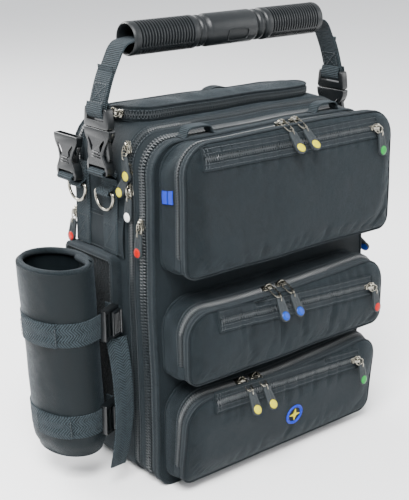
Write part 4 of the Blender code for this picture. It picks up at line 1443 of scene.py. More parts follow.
def make_top_lid():
    """The low puffed lid over the top mouth, its zip on three sides and the webbing stub behind it."""
    low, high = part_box("top_lid")
    x_span, y_span = (low.x, high.x), (low.y, high.y)
    marks = flat_outline(x_span, y_span, 0.021, 0.006)
    hinge_y = y_span[1] - 0.006

    def shape(point):
        x, y, z = point
        rise = max(z - HEIGHT, 0.0)
        slope = (1.0 - 0.16 * ease((x + 0.11) / 0.22)) * (1.0 - 0.42 * ease((y - 0.022) / 0.045))
        return Vector((x, y, HEIGHT + rise * slope))

    collar = sweep(bmesh.new(), slab((-0.0005, 0.0052), (-0.0022, 0.0), 0.0004), at_height(marks, HEIGHT))
    publish("top_lid_collar", collar, gusset_cloth(), "rear_module", "nylon", shape=shape)
    zip_z = HEIGHT + 0.0072
    turned = marks[len(marks) // 2 :] + marks[1 : len(marks) // 2 + 1]
    first = next(index for index, (point, _out) in enumerate(turned) if point.y < hinge_y)
    last = max(index for index, (point, _out) in enumerate(turned) if point.y < hinge_y)
    zipped = at_height(turned[first : last + 1], zip_z)
    zip_half("top_zip_lower_half", zipped, -1, "fine", "rear_module", shape=shape, tight=True)
    zip_half("top_zip_upper_half", zipped, 1, "fine", "top_lid", shape=shape, tight=True)
    back = [mark for mark in at_height(turned, zip_z) if mark[0].y >= hinge_y - 0.006]
    back.sort(key=lambda mark: mark[0].x)
    hinge = sweep(bmesh.new(), slab((-0.0056, 0.0056), (-0.0012, 0.0002), 0.0003), back)
    publish(
        "top_lid_hinge_cloth", hinge, gusset_cloth(), "top_lid", "nylon", shape=shape,
        bend=("rear_module", "top_lid", (0, 0, zip_z - 0.005), (0, 0, zip_z + 0.005)),
    )
    rim = sweep(bmesh.new(), slab((0.0040, 0.0064), (-0.0020, 0.0006), 0.0005), at_height(marks, zip_z))
    publish("top_lid_rim", rim, binding(), "top_lid", "nylon", shape=shape)
    piping = sweep(bmesh.new(), circle(0.0012, 8), at_height(marks, zip_z + 0.0064, 0.0))
    publish("top_lid_piping", piping, tape(), "top_lid", "nylon", shape=shape)
    roof_z = zip_z + 0.0058
    roof = panel_sheet(x_span, y_span, 0.021, 0.021, 0.0042)
    for vert in roof.verts:
        x, y = vert.co.x, vert.co.z
        reach = min(x - x_span[0], x_span[1] - x, y - y_span[0], y_span[1] - y)
        fold = rumple((x * 1.0, y * 0.6, 0.3), 38.0, 0.0042) * ease(reach / 0.012)
        vert.co = (x, y, roof_z + 0.0026 * ease(reach / 0.020) + fold)
    thicken(roof, 0.0018, -Z_AXIS)
    publish("top_lid_cloth", roof, nylon(), "top_lid", "nylon", shape=shape, stands_for=("top_lid",), smooth=60)

    low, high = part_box("top_zip_slider")
    place = Vector((x_span[0] - 0.0004, (low.y + high.y) / 2 - 0.006, zip_z))
    station = (anchored(place), Z_AXIS, -X_AXIS)
    hinge = station[0] + Vector((-0.0050, 0.0075, 0.0010))
    slider_piece("top_zip_slider_body", station, "top_zip_slider", ("top_zip_slider",), hinge)
    pull_pieces("top_zip_slider", hinge, Vector((-0.10, 0.93, -0.30)), Vector((-0.75, -0.16, 0.60)), "blue", "top_zip_slider")

    stub_y = REAR_ZIP_Y - 0.0085
    path = [(0.012, stub_y, HEIGHT + 0.0008), (0.016, stub_y, HEIGHT + 0.0080), (0.028, stub_y, HEIGHT + 0.0105),
            (0.040, stub_y, HEIGHT + 0.0080), (0.044, stub_y, HEIGHT + 0.0008)]
    grab = sweep(bmesh.new(), slab((-0.0062, 0.0062), (-0.0008, 0.0008), 0.0004), through(path, Z_AXIS, 5, Y_AXIS))
    publish("rear_grab_loop", grab, webbing(), "rear_module", "webbing")


# ---------------------------------------------------------------- webbing

WEBBING_EDGE = 0.0005


def strap(name, stations, half_width, thick, body, stands_for=(), finish=None, soft=False, **words):
    """Woven strap with eased edges along stations."""
    section = slab((-half_width, half_width), (-thick / 2, thick / 2), min(WEBBING_EDGE, thick * 0.4))
    return sweep_piece(
        name, section, stations, finish or webbing(), body, "webbing", stands_for=stands_for, soft=soft, **words
    )


def box_cross(station, half_along, half_side):
    """The stitched box with a cross in it that locks two layers of webbing."""
    origin, side, out = station
    along = side.cross(out).normalized()
    corner = [origin + along * a * half_along + side * s * half_side for a, s in ((-1, -1), (1, -1), (1, 1), (-1, 1))]
    pairs = list(zip(corner, corner[1:] + corner[:1])) + [(corner[0], corner[2]), (corner[1], corner[3])]
    return [straight(start, end, out, 0.01) for start, end in pairs]


def make_top_loops():
    for side, _sign in SIDES:
        node = f"top_loop_{side}"
        low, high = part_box(node)
        y, middle = (low.y + high.y) / 2, (low.x + high.x) / 2
        half, foot, crest = (high.x - low.x) / 2, low.z + 0.0006, high.z - 0.0002
        points = [
            (middle - half - 0.002, y, foot), (middle - half + 0.002, y, foot + 0.0012),
            (middle - half + 0.006, y, crest - 0.0012), (middle, y, crest), (middle + half - 0.006, y, crest - 0.0012),
            (middle + half - 0.002, y, foot + 0.0012), (middle + half + 0.002, y, foot),
        ]
        stations = through(points, Z_AXIS, 5, Y_AXIS)
        strap(f"{node}_webbing", stations, (high.y - low.y) / 2, 0.0018, "front_module", (node,), soft=True)
        rows = [straight((middle + s * half, low.y + 0.002, foot + 0.0016), (middle + s * half, high.y - 0.002, foot + 0.0016), Z_AXIS) for s in (-1, 1)]
        stitched_piece(f"{node}_stitches", rows, "front_module", 0.0006)


def handle_line():
    """The handle webbing's line on one side, as (distance from the middle, height), read off the frame."""
    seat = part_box("handle_buckle_female_left")[1].z
    x = -(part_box("handle_buckle_female_left")[0].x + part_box("handle_buckle_female_left")[1].x) / 2
    mouth, grip_z = GRIP_HIGH.x, (GRIP_LOW.z + GRIP_HIGH.z) / 2
    return [
        (x, seat + 0.0165), (x - 0.0012, seat + 0.0230), (x - 0.0075, seat + 0.0420), (x - 0.0155, seat + 0.0590),
        (x - 0.0225, seat + 0.0705), (mouth - 0.0010, grip_z - 0.0012), (mouth - 0.030, grip_z), (mouth - 0.060, grip_z),
    ]


def make_handle_strap():
    y = (GRIP_LOW.y + GRIP_HIGH.y) / 2
    half = 0.0122
    for side, sign in SIDES:
        line = [(sign * x, y, z) for x, z in handle_line()]
        stations = through(line, Z_AXIS, 7, Y_AXIS)
        stands_for = ("handle_strap",) if side == "left" else ()
        strap(f"handle_strap_{side}", stations, half, 0.0017, "handle", stands_for)
        facing = -1 if stations[0][2].dot(X_AXIS * sign) > 0 else 1
        lap = [(point - out * facing * 0.0019, across, out) for point, across, out in stations[1:18]]
        strap(f"handle_strap_lap_{side}", lap, half - 0.0002, 0.0017, "handle")
        tail = lap[-1]
        end = [
            (tail[0], tail[1], tail[2]),
            (tail[0] + (tail[0] - lap[-2][0]).normalized() * 0.004 - tail[2] * facing * 0.0022, tail[1], tail[2]),
        ]
        strap(f"handle_strap_end_{side}", end, half - 0.0006, 0.0015, "handle")
        mark = stations[10]
        runs = []
        for out_shift in (0.0012, -0.0031):
            spot = (mark[0] + mark[2] * out_shift * facing, mark[1], mark[2] * facing)
            runs += box_cross(spot, 0.0085, 0.0088)
        stitched_piece(f"handle_strap_stitches_{side}", runs, "handle", 0.0002, 0.0009, soft=False)
        turn_y = [(line[0][0] + sign * s, y, line[0][2] + r) for s, r in ((0.0036, 0.0070), (0.0050, 0.0010), (0.0046, -0.0034), (0.0022, -0.0064), (0.0, -0.0070), (-0.0022, -0.0064), (-0.0046, -0.0034), (-0.0048, 0.0010), (-0.0030, 0.0070))]
        strap(f"handle_strap_turn_{side}", through(turn_y, X_AXIS * sign, 5, Y_AXIS), half, 0.0017, "handle")


# ---------------------------------------------------------------- grip


def make_grip():
    """Rubber grip: a smooth barrel between two necks, two ribbed ends with smooth lands, open at both ends."""
    y, z = (GRIP_LOW.y + GRIP_HIGH.y) / 2, (GRIP_LOW.z + GRIP_HIGH.z) / 2
    half, radius, bore = GRIP_HIGH.x, (GRIP_HIGH.z - GRIP_LOW.z) / 2, 0.0130
    barrel, neck, collar = 0.0300, 0.0405, 0.0470
    ribs_start, ribs_end, grooves = 0.0490, half - 0.0065, 19
    pitch = (ribs_end - ribs_start) / grooves
    profile = [(0.0, radius), (barrel - 0.0030, radius), (barrel - 0.0008, radius - 0.0006), (barrel, radius - 0.0019)]
    profile += [(barrel + 0.0030, radius - 0.0024), (barrel + 0.0042, radius - 0.0010), (barrel + 0.0060, radius - 0.0006)]
    profile += [(neck - 0.0018, radius - 0.0010), (neck - 0.0008, radius - 0.0024), (neck + 0.0010, radius - 0.0024)]
    profile += [(neck + 0.0020, radius - 0.0006), (neck + 0.0034, radius), (collar, radius), (ribs_start, radius)]
    for count in range(grooves):
        left = ribs_start + count * pitch
        profile += [(left + pitch * 0.10, radius - 0.0001), (left + pitch * 0.18, radius - 0.0018)]
        profile += [(left + pitch * 0.58, radius - 0.0018), (left + pitch * 0.66, radius - 0.0001), (left + pitch, radius)]
    profile += [(half - 0.0030, radius + 0.0001), (half - 0.0010, radius - 0.0004), (half, radius - 0.0015)]
    profile += [(half - 0.0004, bore + 0.0004), (half - 0.0030, bore), (0.0, bore)]
    lands = [math.radians(angle) for angle in (0, 180, 236)]
    sides = 72
    grip = bmesh.new()
    verts = [grip.verts.new((x, 0, r)) for x, r in profile]
    edges = [grip.edges.new(pair) for pair in zip(verts, verts[1:])]
    bmesh.ops.spin(
        grip, geom=verts + edges, cent=(0, 0, 0), axis=(1, 0, 0), angle=2 * math.pi, steps=sides, use_merge=True
    )
    for vert in grip.verts:
        x, across, up = vert.co
        if not ribs_start < abs(x) < ribs_end or math.hypot(across, up) < bore + 0.0006:
            continue
        turn = math.atan2(across, up) % (2 * math.pi)
        gap = min(abs((turn - land + math.pi) % (2 * math.pi) - math.pi) for land in lands)
        smooth_share = 1 - ease((gap - 0.07) / 0.10)
        now = math.hypot(across, up)
        grown = now + (radius - 0.0001 - now) * smooth_share
        vert.co.y, vert.co.z = across * grown / now, up * grown / now
    bmesh.ops.mirror(grip, geom=list(grip.verts) + list(grip.edges) + list(grip.faces), axis="X", merge_dist=1e-5)
    bmesh.ops.translate(grip, verts=grip.verts, vec=(0, y, z))
    publish("grip_rubber", grip, grip_rubber(), "handle", "grip_rubber", stands_for=("handle_grip",), soft=False, smooth=50)
    panel = bmesh.new()
    centre = Vector((0.004, y - (radius + 0.0002) * 0.94, z - radius * 0.34))
    facing = Vector((0, -0.94, -0.34))
    wire(panel, centre, X_AXIS, facing.cross(X_AXIS), 0.0125, 0.0058, 0.00045, square=5.0, count=28)
    publish("grip_moulded_panel", panel, grip_rubber(), "handle", "grip_rubber", soft=False)


# ---------------------------------------------------------------- buckles and rings


def rounded(bm, edge, segments=2, sharp=35.0):
    """Rounds the sharp edges of a closed moulding."""
    tidy(bm)
    bmesh.ops.dissolve_limit(bm, angle_limit=math.radians(1), verts=bm.verts, edges=bm.edges)
    limit = math.radians(sharp)
    edges = [item for item in bm.edges if len(item.link_faces) == 2 and item.calc_face_angle(0.0) > limit]
    bmesh.ops.bevel(
        bm, geom=edges, offset=edge, affect="EDGES", segments=segments, profile=0.5, material=-1,
        clamp_overlap=True,
    )
    return bm


def upright_block(bm, outline_yz, x_span):
    ring = [Vector((x_span[0], y, z)) for y, z in outline_yz]
    return solid_from(bm, ring, X_AXIS * (x_span[1] - x_span[0]))


def make_female_buckle(node, body):
    """Socket half of a side-release buckle: waisted body, finger windows, ribbed face and foot bar."""
    low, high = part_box(node)
    y, x = (low.y + high.y) / 2, (low.x + high.x) / 2
    base, top, thick = low.z, high.z, 0.0092
    profile = [(0.0138, 0.0), (0.0152, 0.0012), (0.0158, 0.0060), (0.0150, 0.0100), (0.0118, 0.0150), (0.0104, 0.0185),
               (0.0108, 0.0220), (0.0132, 0.0272), (0.0168, 0.0322), (0.0186, 0.0362), (0.0192, top - base - 0.0012), (0.0184, top - base)]
    ring = [(y + s, base + r) for s, r in profile] + [(y - s, base + r) for s, r in reversed(profile)]
    shell = upright_block(bmesh.new(), ring, (x - thick / 2, x + thick / 2))
    for vert in shell.verts:
        rise, across = (vert.co.z - base) / (top - base), (vert.co.y - y) / 0.019
        vert.co.x = x + (vert.co.x - x) * (0.94 + 0.14 * math.sin(math.pi * min(rise * 1.6, 1.0)) - 0.10 * across * across)
    piece = publish(f"{node}_moulding", rounded(shell, 0.0014, 3), plastic(), body, "moulded_plastic", stands_for=(node,), soft=False, smooth=34)
    socket = bmesh.new()
    bmesh.ops.create_cube(socket, size=1.0, matrix=Matrix.Translation((x, y, top - 0.012)) @ Matrix.Diagonal((0.0050, 0.0330, 0.030, 1)))
    carve(piece, socket)
    for side in (-1, 1):
        window = bmesh.new()
        arch = [(0.0052, 0.0262), (0.0085, 0.0300), (0.0120, 0.0332), (0.0128, 0.0312), (0.0098, 0.0262), (0.0076, 0.0215), (0.0058, 0.0215)]
        upright_block(window, [(y + side * s, base + r) for s, r in arch], (x - 0.008, x + 0.008))
        carve(piece, window)
    foot = bmesh.new()
    bmesh.ops.create_cube(foot, size=1.0, matrix=Matrix.Translation((x, y, base + 0.0056)) @ Matrix.Diagonal((0.020, 0.0250, 0.0044, 1)))
    carve(piece, foot)
    grips = bmesh.new()
    for side in (-1, 1):
        for count in range(3):
            z = base + 0.0158 + count * 0.0024
            station = (Vector((x + side * (thick / 2 + 0.0006), y, z)), Y_AXIS, X_AXIS * side)
            rod(grips, station, 0.0120 - count * 0.0014, 0.00050, across=True)
    publish(f"{node}_grip_lines", grips, plastic(), body, "moulded_plastic", soft=False)
    piece.data.shade_smooth()
    piece.data.set_sharp_from_angle(angle=math.radians(30))


def make_male_buckle(node, female, body):
    """Prong half: a wide head with a ladder bar, two sprung prongs and a guide tongue."""
    low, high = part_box(female)
    y, x, seat = (low.y + high.y) / 2, (low.x + high.x) / 2, high.z
    head = [(0.0178, 0.0004), (0.0186, 0.0030), (0.0180, 0.0080), (0.0172, 0.0150), (0.0160, 0.0190)]
    ring = [(y + s, seat + r) for s, r in head] + [(y - s, seat + r) for s, r in reversed(head)]
    bm = rounded(upright_block(bmesh.new(), ring, (x - 0.0042, x + 0.0042)), 0.0012, 3)
    piece = publish(f"{node}_moulding", bm, plastic(), body, "moulded_plastic", stands_for=(node,), soft=False, smooth=30)
    slot = bmesh.new()
    bmesh.ops.create_cube(slot, size=1.0, matrix=Matrix.Translation((x, y, seat + 0.0098)) @ Matrix.Diagonal((0.02, 0.0256, 0.0046, 1)))
    carve(piece, slot)
    crest = bmesh.new()
    bmesh.ops.create_cube(crest, size=1.0, matrix=Matrix.Translation((x, y, seat + 0.0185)) @ Matrix.Diagonal((0.02, 0.0256, 0.0052, 1)))
    carve(piece, crest)
    prongs = bmesh.new()
    for side in (-1, 1):
        blade = [(0.0096, 0.0020), (0.0104, -0.0080), (0.0094, -0.0160), (0.0112, -0.0215), (0.0124, -0.0262), (0.0140, -0.0290), (0.0162, -0.0282), (0.0172, -0.0240), (0.0166, -0.0175), (0.0150, -0.0100), (0.0146, 0.0020)]
        upright_block(prongs, [(y + side * s, seat + r) for s, r in blade], (x - 0.0022, x + 0.0022))
    tongue = [(-0.0030, 0.0020), (-0.0026, -0.0240), (0.0026, -0.0240), (0.0030, 0.0020)]
    upright_block(prongs, [(y + s, seat + r) for s, r in tongue], (x - 0.0016, x + 0.0016))
    publish(f"{node}_prongs", rounded(prongs, 0.0005, 1), plastic(), body, "moulded_plastic", soft=False, smooth=30)
    piece.data.shade_smooth()
    piece.data.set_sharp_from_angle(angle=math.radians(30))


def keeper(name, x, sign, y, z_span, reach, half, body="rear_module"):
    """A webbing loop that holds a ring or a buckle's foot bar to the side of the bag."""
    z_low, z_bar = z_span
    foot = sign * (HALF + 0.0036)
    points = [(foot, y, z_low - 0.018), (foot, y, z_low - 0.004), ((foot + x) / 2, y, z_bar - 0.004), (x + sign * reach, y, z_bar - 0.0005),
              (x + sign * reach * 0.5, y, z_bar + 0.0026), (x - sign * reach * 0.6, y, z_bar + 0.0024), (foot, y, z_bar - 0.0030), (foot - sign * 0.0006, y, z_low - 0.003)]
    strap(name, through(points, X_AXIS * sign, 5, Y_AXIS), half, 0.0015, body)


def make_d_ring(place, side, sign):
    """A wire ring with a straight bar, and the webbing keeper it hangs from."""
    node = f"d_ring_{place}_{side}"
    low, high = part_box(node)
    x, y = (low.x + high.x) / 2, (low.y + high.y) / 2
    radius = 0.0015
    half, top, drop = (high.y - low.y) / 2 - radius, high.z - radius, high.z - low.z - 2 * radius
    line = [Vector((x, y + half * share, top)) for share in (0.9, 0.45, 0.0, -0.45, -0.9)]
    for count in range(19):
        turn = math.pi * (0.94 + 1.12 * count / 18)
        line.append(Vector((x, y + half * math.cos(turn), top - 0.0030 + (drop - 0.0030) * math.sin(turn))))
    line.append(line[0])
    stations = []
    for index, point in enumerate(line):
        ahead = line[(index + 1) % (len(line) - 1)] - line[index - 1 if index else len(line) - 2]
        stations.append((point, ahead.cross(X_AXIS).normalized(), X_AXIS))
    ring = sweep(bmesh.new(), circle(radius, 10), stations)
    publish(f"{node}_wire", ring, nickel_material(), node, "nickel", stands_for=(node,), soft=False, smooth=60)
    foot = sign * (HALF + 0.0034)
    z = top
    points = [(foot, y, z - 0.020), (foot, y, z - 0.010), (foot + sign * 0.0014, y, z - 0.0035), (x + sign * 0.0020, y, z - 0.0026), (x + sign * 0.0026, y, z + 0.0008),
              (x, y, z + 0.0027), (foot + sign * 0.0022, y, z + 0.0040), (foot + sign * 0.0008, y, z + 0.0120), (foot, y, z + 0.0165)]
    strap(f"{node}_keeper", through(points, X_AXIS * sign, 5, Y_AXIS), half * 0.70, 0.0014, "rear_module", finish=twill())
    spot = (Vector((foot + sign * 0.0018, y, z + 0.0100)), Y_AXIS * sign, X_AXIS * sign)
    row = [straight((foot + sign * 0.0014, y - half * 0.62, z + s), (foot + sign * 0.0014, y + half * 0.62, z + s), spot[2]) for s in (0.0090, 0.0150)]
    stitched_piece(f"{node}_keeper_stitches", row, "rear_module", 0.0004, soft=False)


def make_side_webbing(side, sign):
    """The padded patch across the side and the two webbing uprights that carry the rings and buckles."""
    node = f"side_webbing_{side}"
    low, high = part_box(node)
    x = sign * (HALF + 0.0018)
    front_y, rear_y = (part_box(f"d_ring_{place}_{side}") for place in ("front", "rear"))
    uprights = [(box[0].y + box[1].y) / 2 for box in (front_y, rear_y)]
    patch_top = 0.260
    path = [(x, y, (low.z + patch_top) / 2) for y in (low.y, low.y + 0.02, (low.y + high.y) / 2, high.y - 0.026, high.y - 0.0062)]
    stations = through(path, X_AXIS * sign, 5, Z_AXIS)
    section = crowned((-(patch_top - low.z) / 2, (patch_top - low.z) / 2), 0.0016, 0.0014, 8)
    out_sign = 1 if stations[0][2].dot(X_AXIS * sign) > 0 else -1
    section = [(s, n * out_sign) for s, n in section]
    patch = sweep_piece(f"{node}_patch", section, stations, gusset_cloth(), "rear_module", "webbing", stands_for=(node,))
    runs = []
    for z in (low.z + 0.003, patch_top - 0.003):
        runs.append(straight((x + sign * 0.0010, low.y + 0.003, z), (x + sign * 0.0010, high.y - 0.009, z), X_AXIS * sign))
    for index, y in enumerate(uprights):
        points = [(x + sign * 0.0016, y, z) for z in (low.z + 0.002, 0.245, 0.270, high.z + 0.006)]
        strap(f"{node}_upright_{index + 1}", through(points, X_AXIS * sign, 5, Y_AXIS), 0.0115, 0.0015, "rear_module", soft=True, finish=twill())
        spot = (Vector((x + sign * 0.0026, y, 0.240)), Y_AXIS, X_AXIS * sign)
        runs += box_cross(spot, 0.0120, 0.0090)
    stitched_piece(f"{node}_stitches", runs, "rear_module", 0.0002)


def make_spare_buckle(side, sign):
    node = f"spare_buckle_female_{side}"
    make_female_buckle(node, f"spare_buckle_{side}")
    low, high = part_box(node)
    x, y = (low.x + high.x) / 2, (low.y + high.y) / 2
    foot, bar = sign * (HALF + 0.0046), low.z + 0.0016
    points = [(foot, y, bar - 0.012), (foot + sign * 0.0020, y, bar - 0.0075), (x + sign * 0.0052, y, bar - 0.0020), (x + sign * 0.0054, y, bar + 0.0016),
              (x, y, bar + 0.0028), (x - sign * 0.0052, y, bar + 0.0006), (foot + sign * 0.0020, y, bar - 0.0040), (foot, y, bar - 0.0010)]
    strap(f"spare_buckle_keeper_{side}", through(points, X_AXIS * sign, 5, Y_AXIS), 0.0118, 0.0015, "rear_module")


def make_handle_buckles(side, sign):
    female, male = f"handle_buckle_female_{side}", f"handle_buckle_male_{side}"
    make_female_buckle(female, "handle_mounts")
    make_male_buckle(male, female, "handle")
    low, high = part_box(female)
    x, y = (low.x + high.x) / 2, (low.y + high.y) / 2
    foot, bar = sign * (HALF + 0.0046), low.z + 0.0016
    points = [(foot, y, bar - 0.013), (foot + sign * 0.0020, y, bar - 0.0080), (x + sign * 0.0052, y, bar - 0.0020), (x + sign * 0.0054, y, bar + 0.0016),
              (x, y, bar + 0.0028), (x - sign * 0.0052, y, bar + 0.0006), (foot + sign * 0.0020, y, bar - 0.0045), (foot, y, bar - 0.0010)]
    strap(f"handle_buckle_keeper_{side}", through(points, X_AXIS * sign, 5, Y_AXIS), 0.0118, 0.0015, "rear_module")


# ---------------------------------------------------------------- bottle sleeve

SLEEVE_BASE = Vector((-0.178, 0.0435, 0.026))
SLEEVE_TOP = Vector((-0.196, 0.0295, 0.226))
SLEEVE_A, SLEEVE_B = 0.031, 0.040
SLEEVE_LAP = math.radians(-38)  # where the rolled sheet's outer edge lies


def sleeve_middle(z):
    return SLEEVE_BASE.lerp(SLEEVE_TOP, (z - SLEEVE_BASE.z) / (SLEEVE_TOP.z - SLEEVE_BASE.z))


def sleeve_stations(z, grow, start=0.0, end=2 * math.pi, count=64, run_in=0.0):
    """Stations round the oval at one height, grown by a distance; run_in draws the end inside the start."""
    centre = sleeve_middle(z)
    stations = []
    for index in range(count + 1):
        share = index / count
        turn = start + (end - start) * share
        away = Vector((SLEEVE_B * math.cos(turn), SLEEVE_A * math.sin(turn), 0)).normalized()
        body = Vector((centre.x + SLEEVE_A * math.cos(turn), centre.y + SLEEVE_B * math.sin(turn), z))
        stations.append((body + away * (grow - run_in * ease((share - 0.86) / 0.12)), Z_AXIS, away))
    return stations


def make_sleeve():
    """A neoprene sheet rolled into an oval tube with its edge lapped, bound rims and a soft floor."""
    z_low, z_high = SLEEVE_BASE.z + 0.008, SLEEVE_TOP.z
    rows = 34
    start = SLEEVE_LAP
    end = SLEEVE_LAP + 2 * math.pi + math.radians(34)
    around = 84
    sheet = bmesh.new()
    layer = sheet.loops.layers.uv.new("cloth")
    made = bmesh.ops.create_grid(sheet, x_segments=around, y_segments=rows, size=0.5)["verts"]
    cell = {vert: (vert.co.x + 0.5, vert.co.y + 0.5) for vert in made}
    for face in sheet.faces:
        for loop in face.loops:
            across, up = cell[loop.vert]
            loop[layer].uv = (across * (end - start) * 0.0355, up * (z_high - z_low))
    for vert, (across, up) in cell.items():
        z = z_low + (z_high - z_low) * up
        turn = start + (end - start) * across
        centre = sleeve_middle(z)
        away = Vector((SLEEVE_B * math.cos(turn), SLEEVE_A * math.sin(turn), 0)).normalized()
        lap = 0.0046 * ease((across - 0.895) / 0.06)
        soft = 0.0007 * noise.noise(Vector((math.cos(turn) * 2.2, math.sin(turn) * 2.2, z * 26.0)))
        waist = -0.0010 * math.sin(math.pi * up)
        point = Vector((centre.x + SLEEVE_A * math.cos(turn), centre.y + SLEEVE_B * math.sin(turn), z))
        vert.co = point + away * (soft + waist - lap - 0.0014 - 0.0050 * ease((0.10 - up) / 0.10) ** 2)
    bmesh.ops.recalc_face_normals(sheet, faces=sheet.faces)
    bmesh.ops.solidify(sheet, geom=list(sheet.faces), thickness=0.0034)
    publish("sleeve_neoprene", sheet, neoprene_material(), "rear_module", "neoprene", stands_for=("bottle_sleeve",), soft=False, smooth=60)

    rim = sweep(bmesh.new(), circle(0.0034, 12, (0.0, -0.0026), 0.82), sleeve_stations(z_high - 0.0005, 0.0, start, end, 96, 0.0052))
    publish("sleeve_rim_binding", rim, binding(), "rear_module", "neoprene", soft=False, smooth=60)
    hem = sweep(bmesh.new(), slab((-0.0055, 0.0055), (-0.0016, 0.0012), 0.0010), sleeve_stations(z_low + 0.004, -0.0040, count=72))
    publish("sleeve_hem_binding", hem, binding(), "rear_module", "neoprene", soft=False, smooth=60)
    rows_of_thread = [sleeve_stations(z_high - 0.0072, 0.0004, start, end - 0.55, 90), sleeve_stations(z_low + 0.0052, -0.0026, count=72)]
    stitched_piece("sleeve_stitches", rows_of_thread, "rear_module", 0.0, 0.0011, soft=False)
    floor = bmesh.new()
    bmesh.ops.create_uvsphere(floor, u_segments=40, v_segments=14, radius=1.0)
    for vert in floor.verts:
        vert.co = sleeve_middle(z_low) + Vector((
            vert.co.x * (SLEEVE_A - 0.0060), vert.co.y * (SLEEVE_B - 0.0060), vert.co.z * 0.0105 + 0.0016
        ))
    publish("sleeve_floor", floor, neoprene_material(), "rear_module", "neoprene", soft=False, smooth=60)
    make_sleeve_panel()


def make_sleeve_panel():
    """The stiff loop-faced panel that carries the sleeve, with a bound edge."""
    low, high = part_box("sleeve_panel")
    marks = outline((low.y, high.y), (low.z, high.z), 0.007, 0.007, 0.006, 4)
    turned = [(Vector((0, point.x, point.z)), Vector((0, out.x, out.z))) for point, out in marks]
    board = bmesh.new()
    ring = [point + X_AXIS * (low.x + 0.0012) for point, _out in turned[:-1]]
    solid_from(board, ring, X_AXIS * (high.x - low.x - 0.0012))
    publish("sleeve_panel_board", board, loop_material(), "rear_module", "neoprene", stands_for=("sleeve_panel",), soft=False)
    stations = [(point + X_AXIS * ((low.x + high.x) / 2), X_AXIS, out) for point, out in turned]
    half = (high.x - low.x) / 2
    edge = sweep(bmesh.new(), slab((-half, half), (-0.0040, 0.0006), 0.0010), stations)
    publish("sleeve_panel_binding", edge, binding(), "rear_module", "webbing", soft=False)
    inner = [(point - out * 0.0034 + X_AXIS * low.x, out, -X_AXIS) for point, out in turned]
    stitched_piece("sleeve_panel_stitches", [inner], "rear_module", 0.0003, soft=False)


# ---------------------------------------------------------------- sleeve straps

STRAP_HEIGHTS = {"upper": 0.165, "lower": 0.068}
LEG_ANGLE = math.radians(21)
PANEL_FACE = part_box("sleeve_panel")[0].x - 0.0012


def strap_route(z):
    """Plan route of a sleeve strap at a height: round the back and outside, then a straight leg to the panel."""
    centre = sleeve_middle(z)
    reach_a, reach_b = SLEEVE_A + 0.0016, SLEEVE_B + 0.0016
    leave = 2 * math.pi - math.atan2(reach_b, reach_a * math.tan(LEG_ANGLE))
    start = math.radians(58)
    points = [Vector((PANEL_FACE, 0.058, z)), Vector((PANEL_FACE, 0.066, z))]
    for step in range(25):
        turn = start + (leave - start) * step / 24
        points.append(Vector((centre.x + reach_a * math.cos(turn), centre.y + reach_b * math.sin(turn), z)))
    last = points[-1]
    points.append(Vector((PANEL_FACE, last.y + (PANEL_FACE - last.x) * math.tan(LEG_ANGLE), z)))
    points.append(points[-1] + Vector((0, 0.014, 0)))
    return points


def leg_middle(z):
    first, last = strap_route(z)[-3:-1]
    return last + (first - last).normalized() * (0.011 + 0.0025)


def make_sleeve_straps():
    for name, z in STRAP_HEIGHTS.items():
        lean = (SLEEVE_TOP - SLEEVE_BASE).normalized()
        stations = []
        for point, _side, _out in (line := through(strap_route(z), -X_AXIS, 2, Z_AXIS)):
            index = len(stations)
            ahead = line[min(index + 1, len(line) - 1)][0] - line[max(index - 1, 0)][0]
            side = Z_AXIS.lerp(lean, ease((PANEL_FACE - 0.004 - point.x) / 0.016)).normalized()
            stations.append((point, side, ahead.cross(side).normalized()))
        strap(f"sleeve_strap_{name}_webbing", stations, 0.0122, 0.0017, "rear_module", (f"sleeve_strap_{name}",), twill())
        lap_start, lap_end = (26, 40) if name == "upper" else (30, 42)
        lap = [(point + out * 0.0018 * (1 if out.dot(point - sleeve_middle(z)) > 0 else -1), side, out) for point, side, out in stations[lap_start:lap_end]]
        strap(f"sleeve_strap_{name}_lap", lap, 0.0120, 0.0016, "rear_module", finish=twill())
        ends = []
        for mark in (lap[0], lap[-1]):
            point, side, out = mark
            facing = out * (1 if out.dot(point - sleeve_middle(z)) > 0 else -1)
            ends.append(straight(point - side * 0.0095 + facing * 0.0010, point + side * 0.0095 + facing * 0.0010, facing))
        stitched_piece(f"sleeve_strap_{name}_stitches", ends, "rear_module", 0.0003, soft=False)
        make_cam_buckle(name, z)


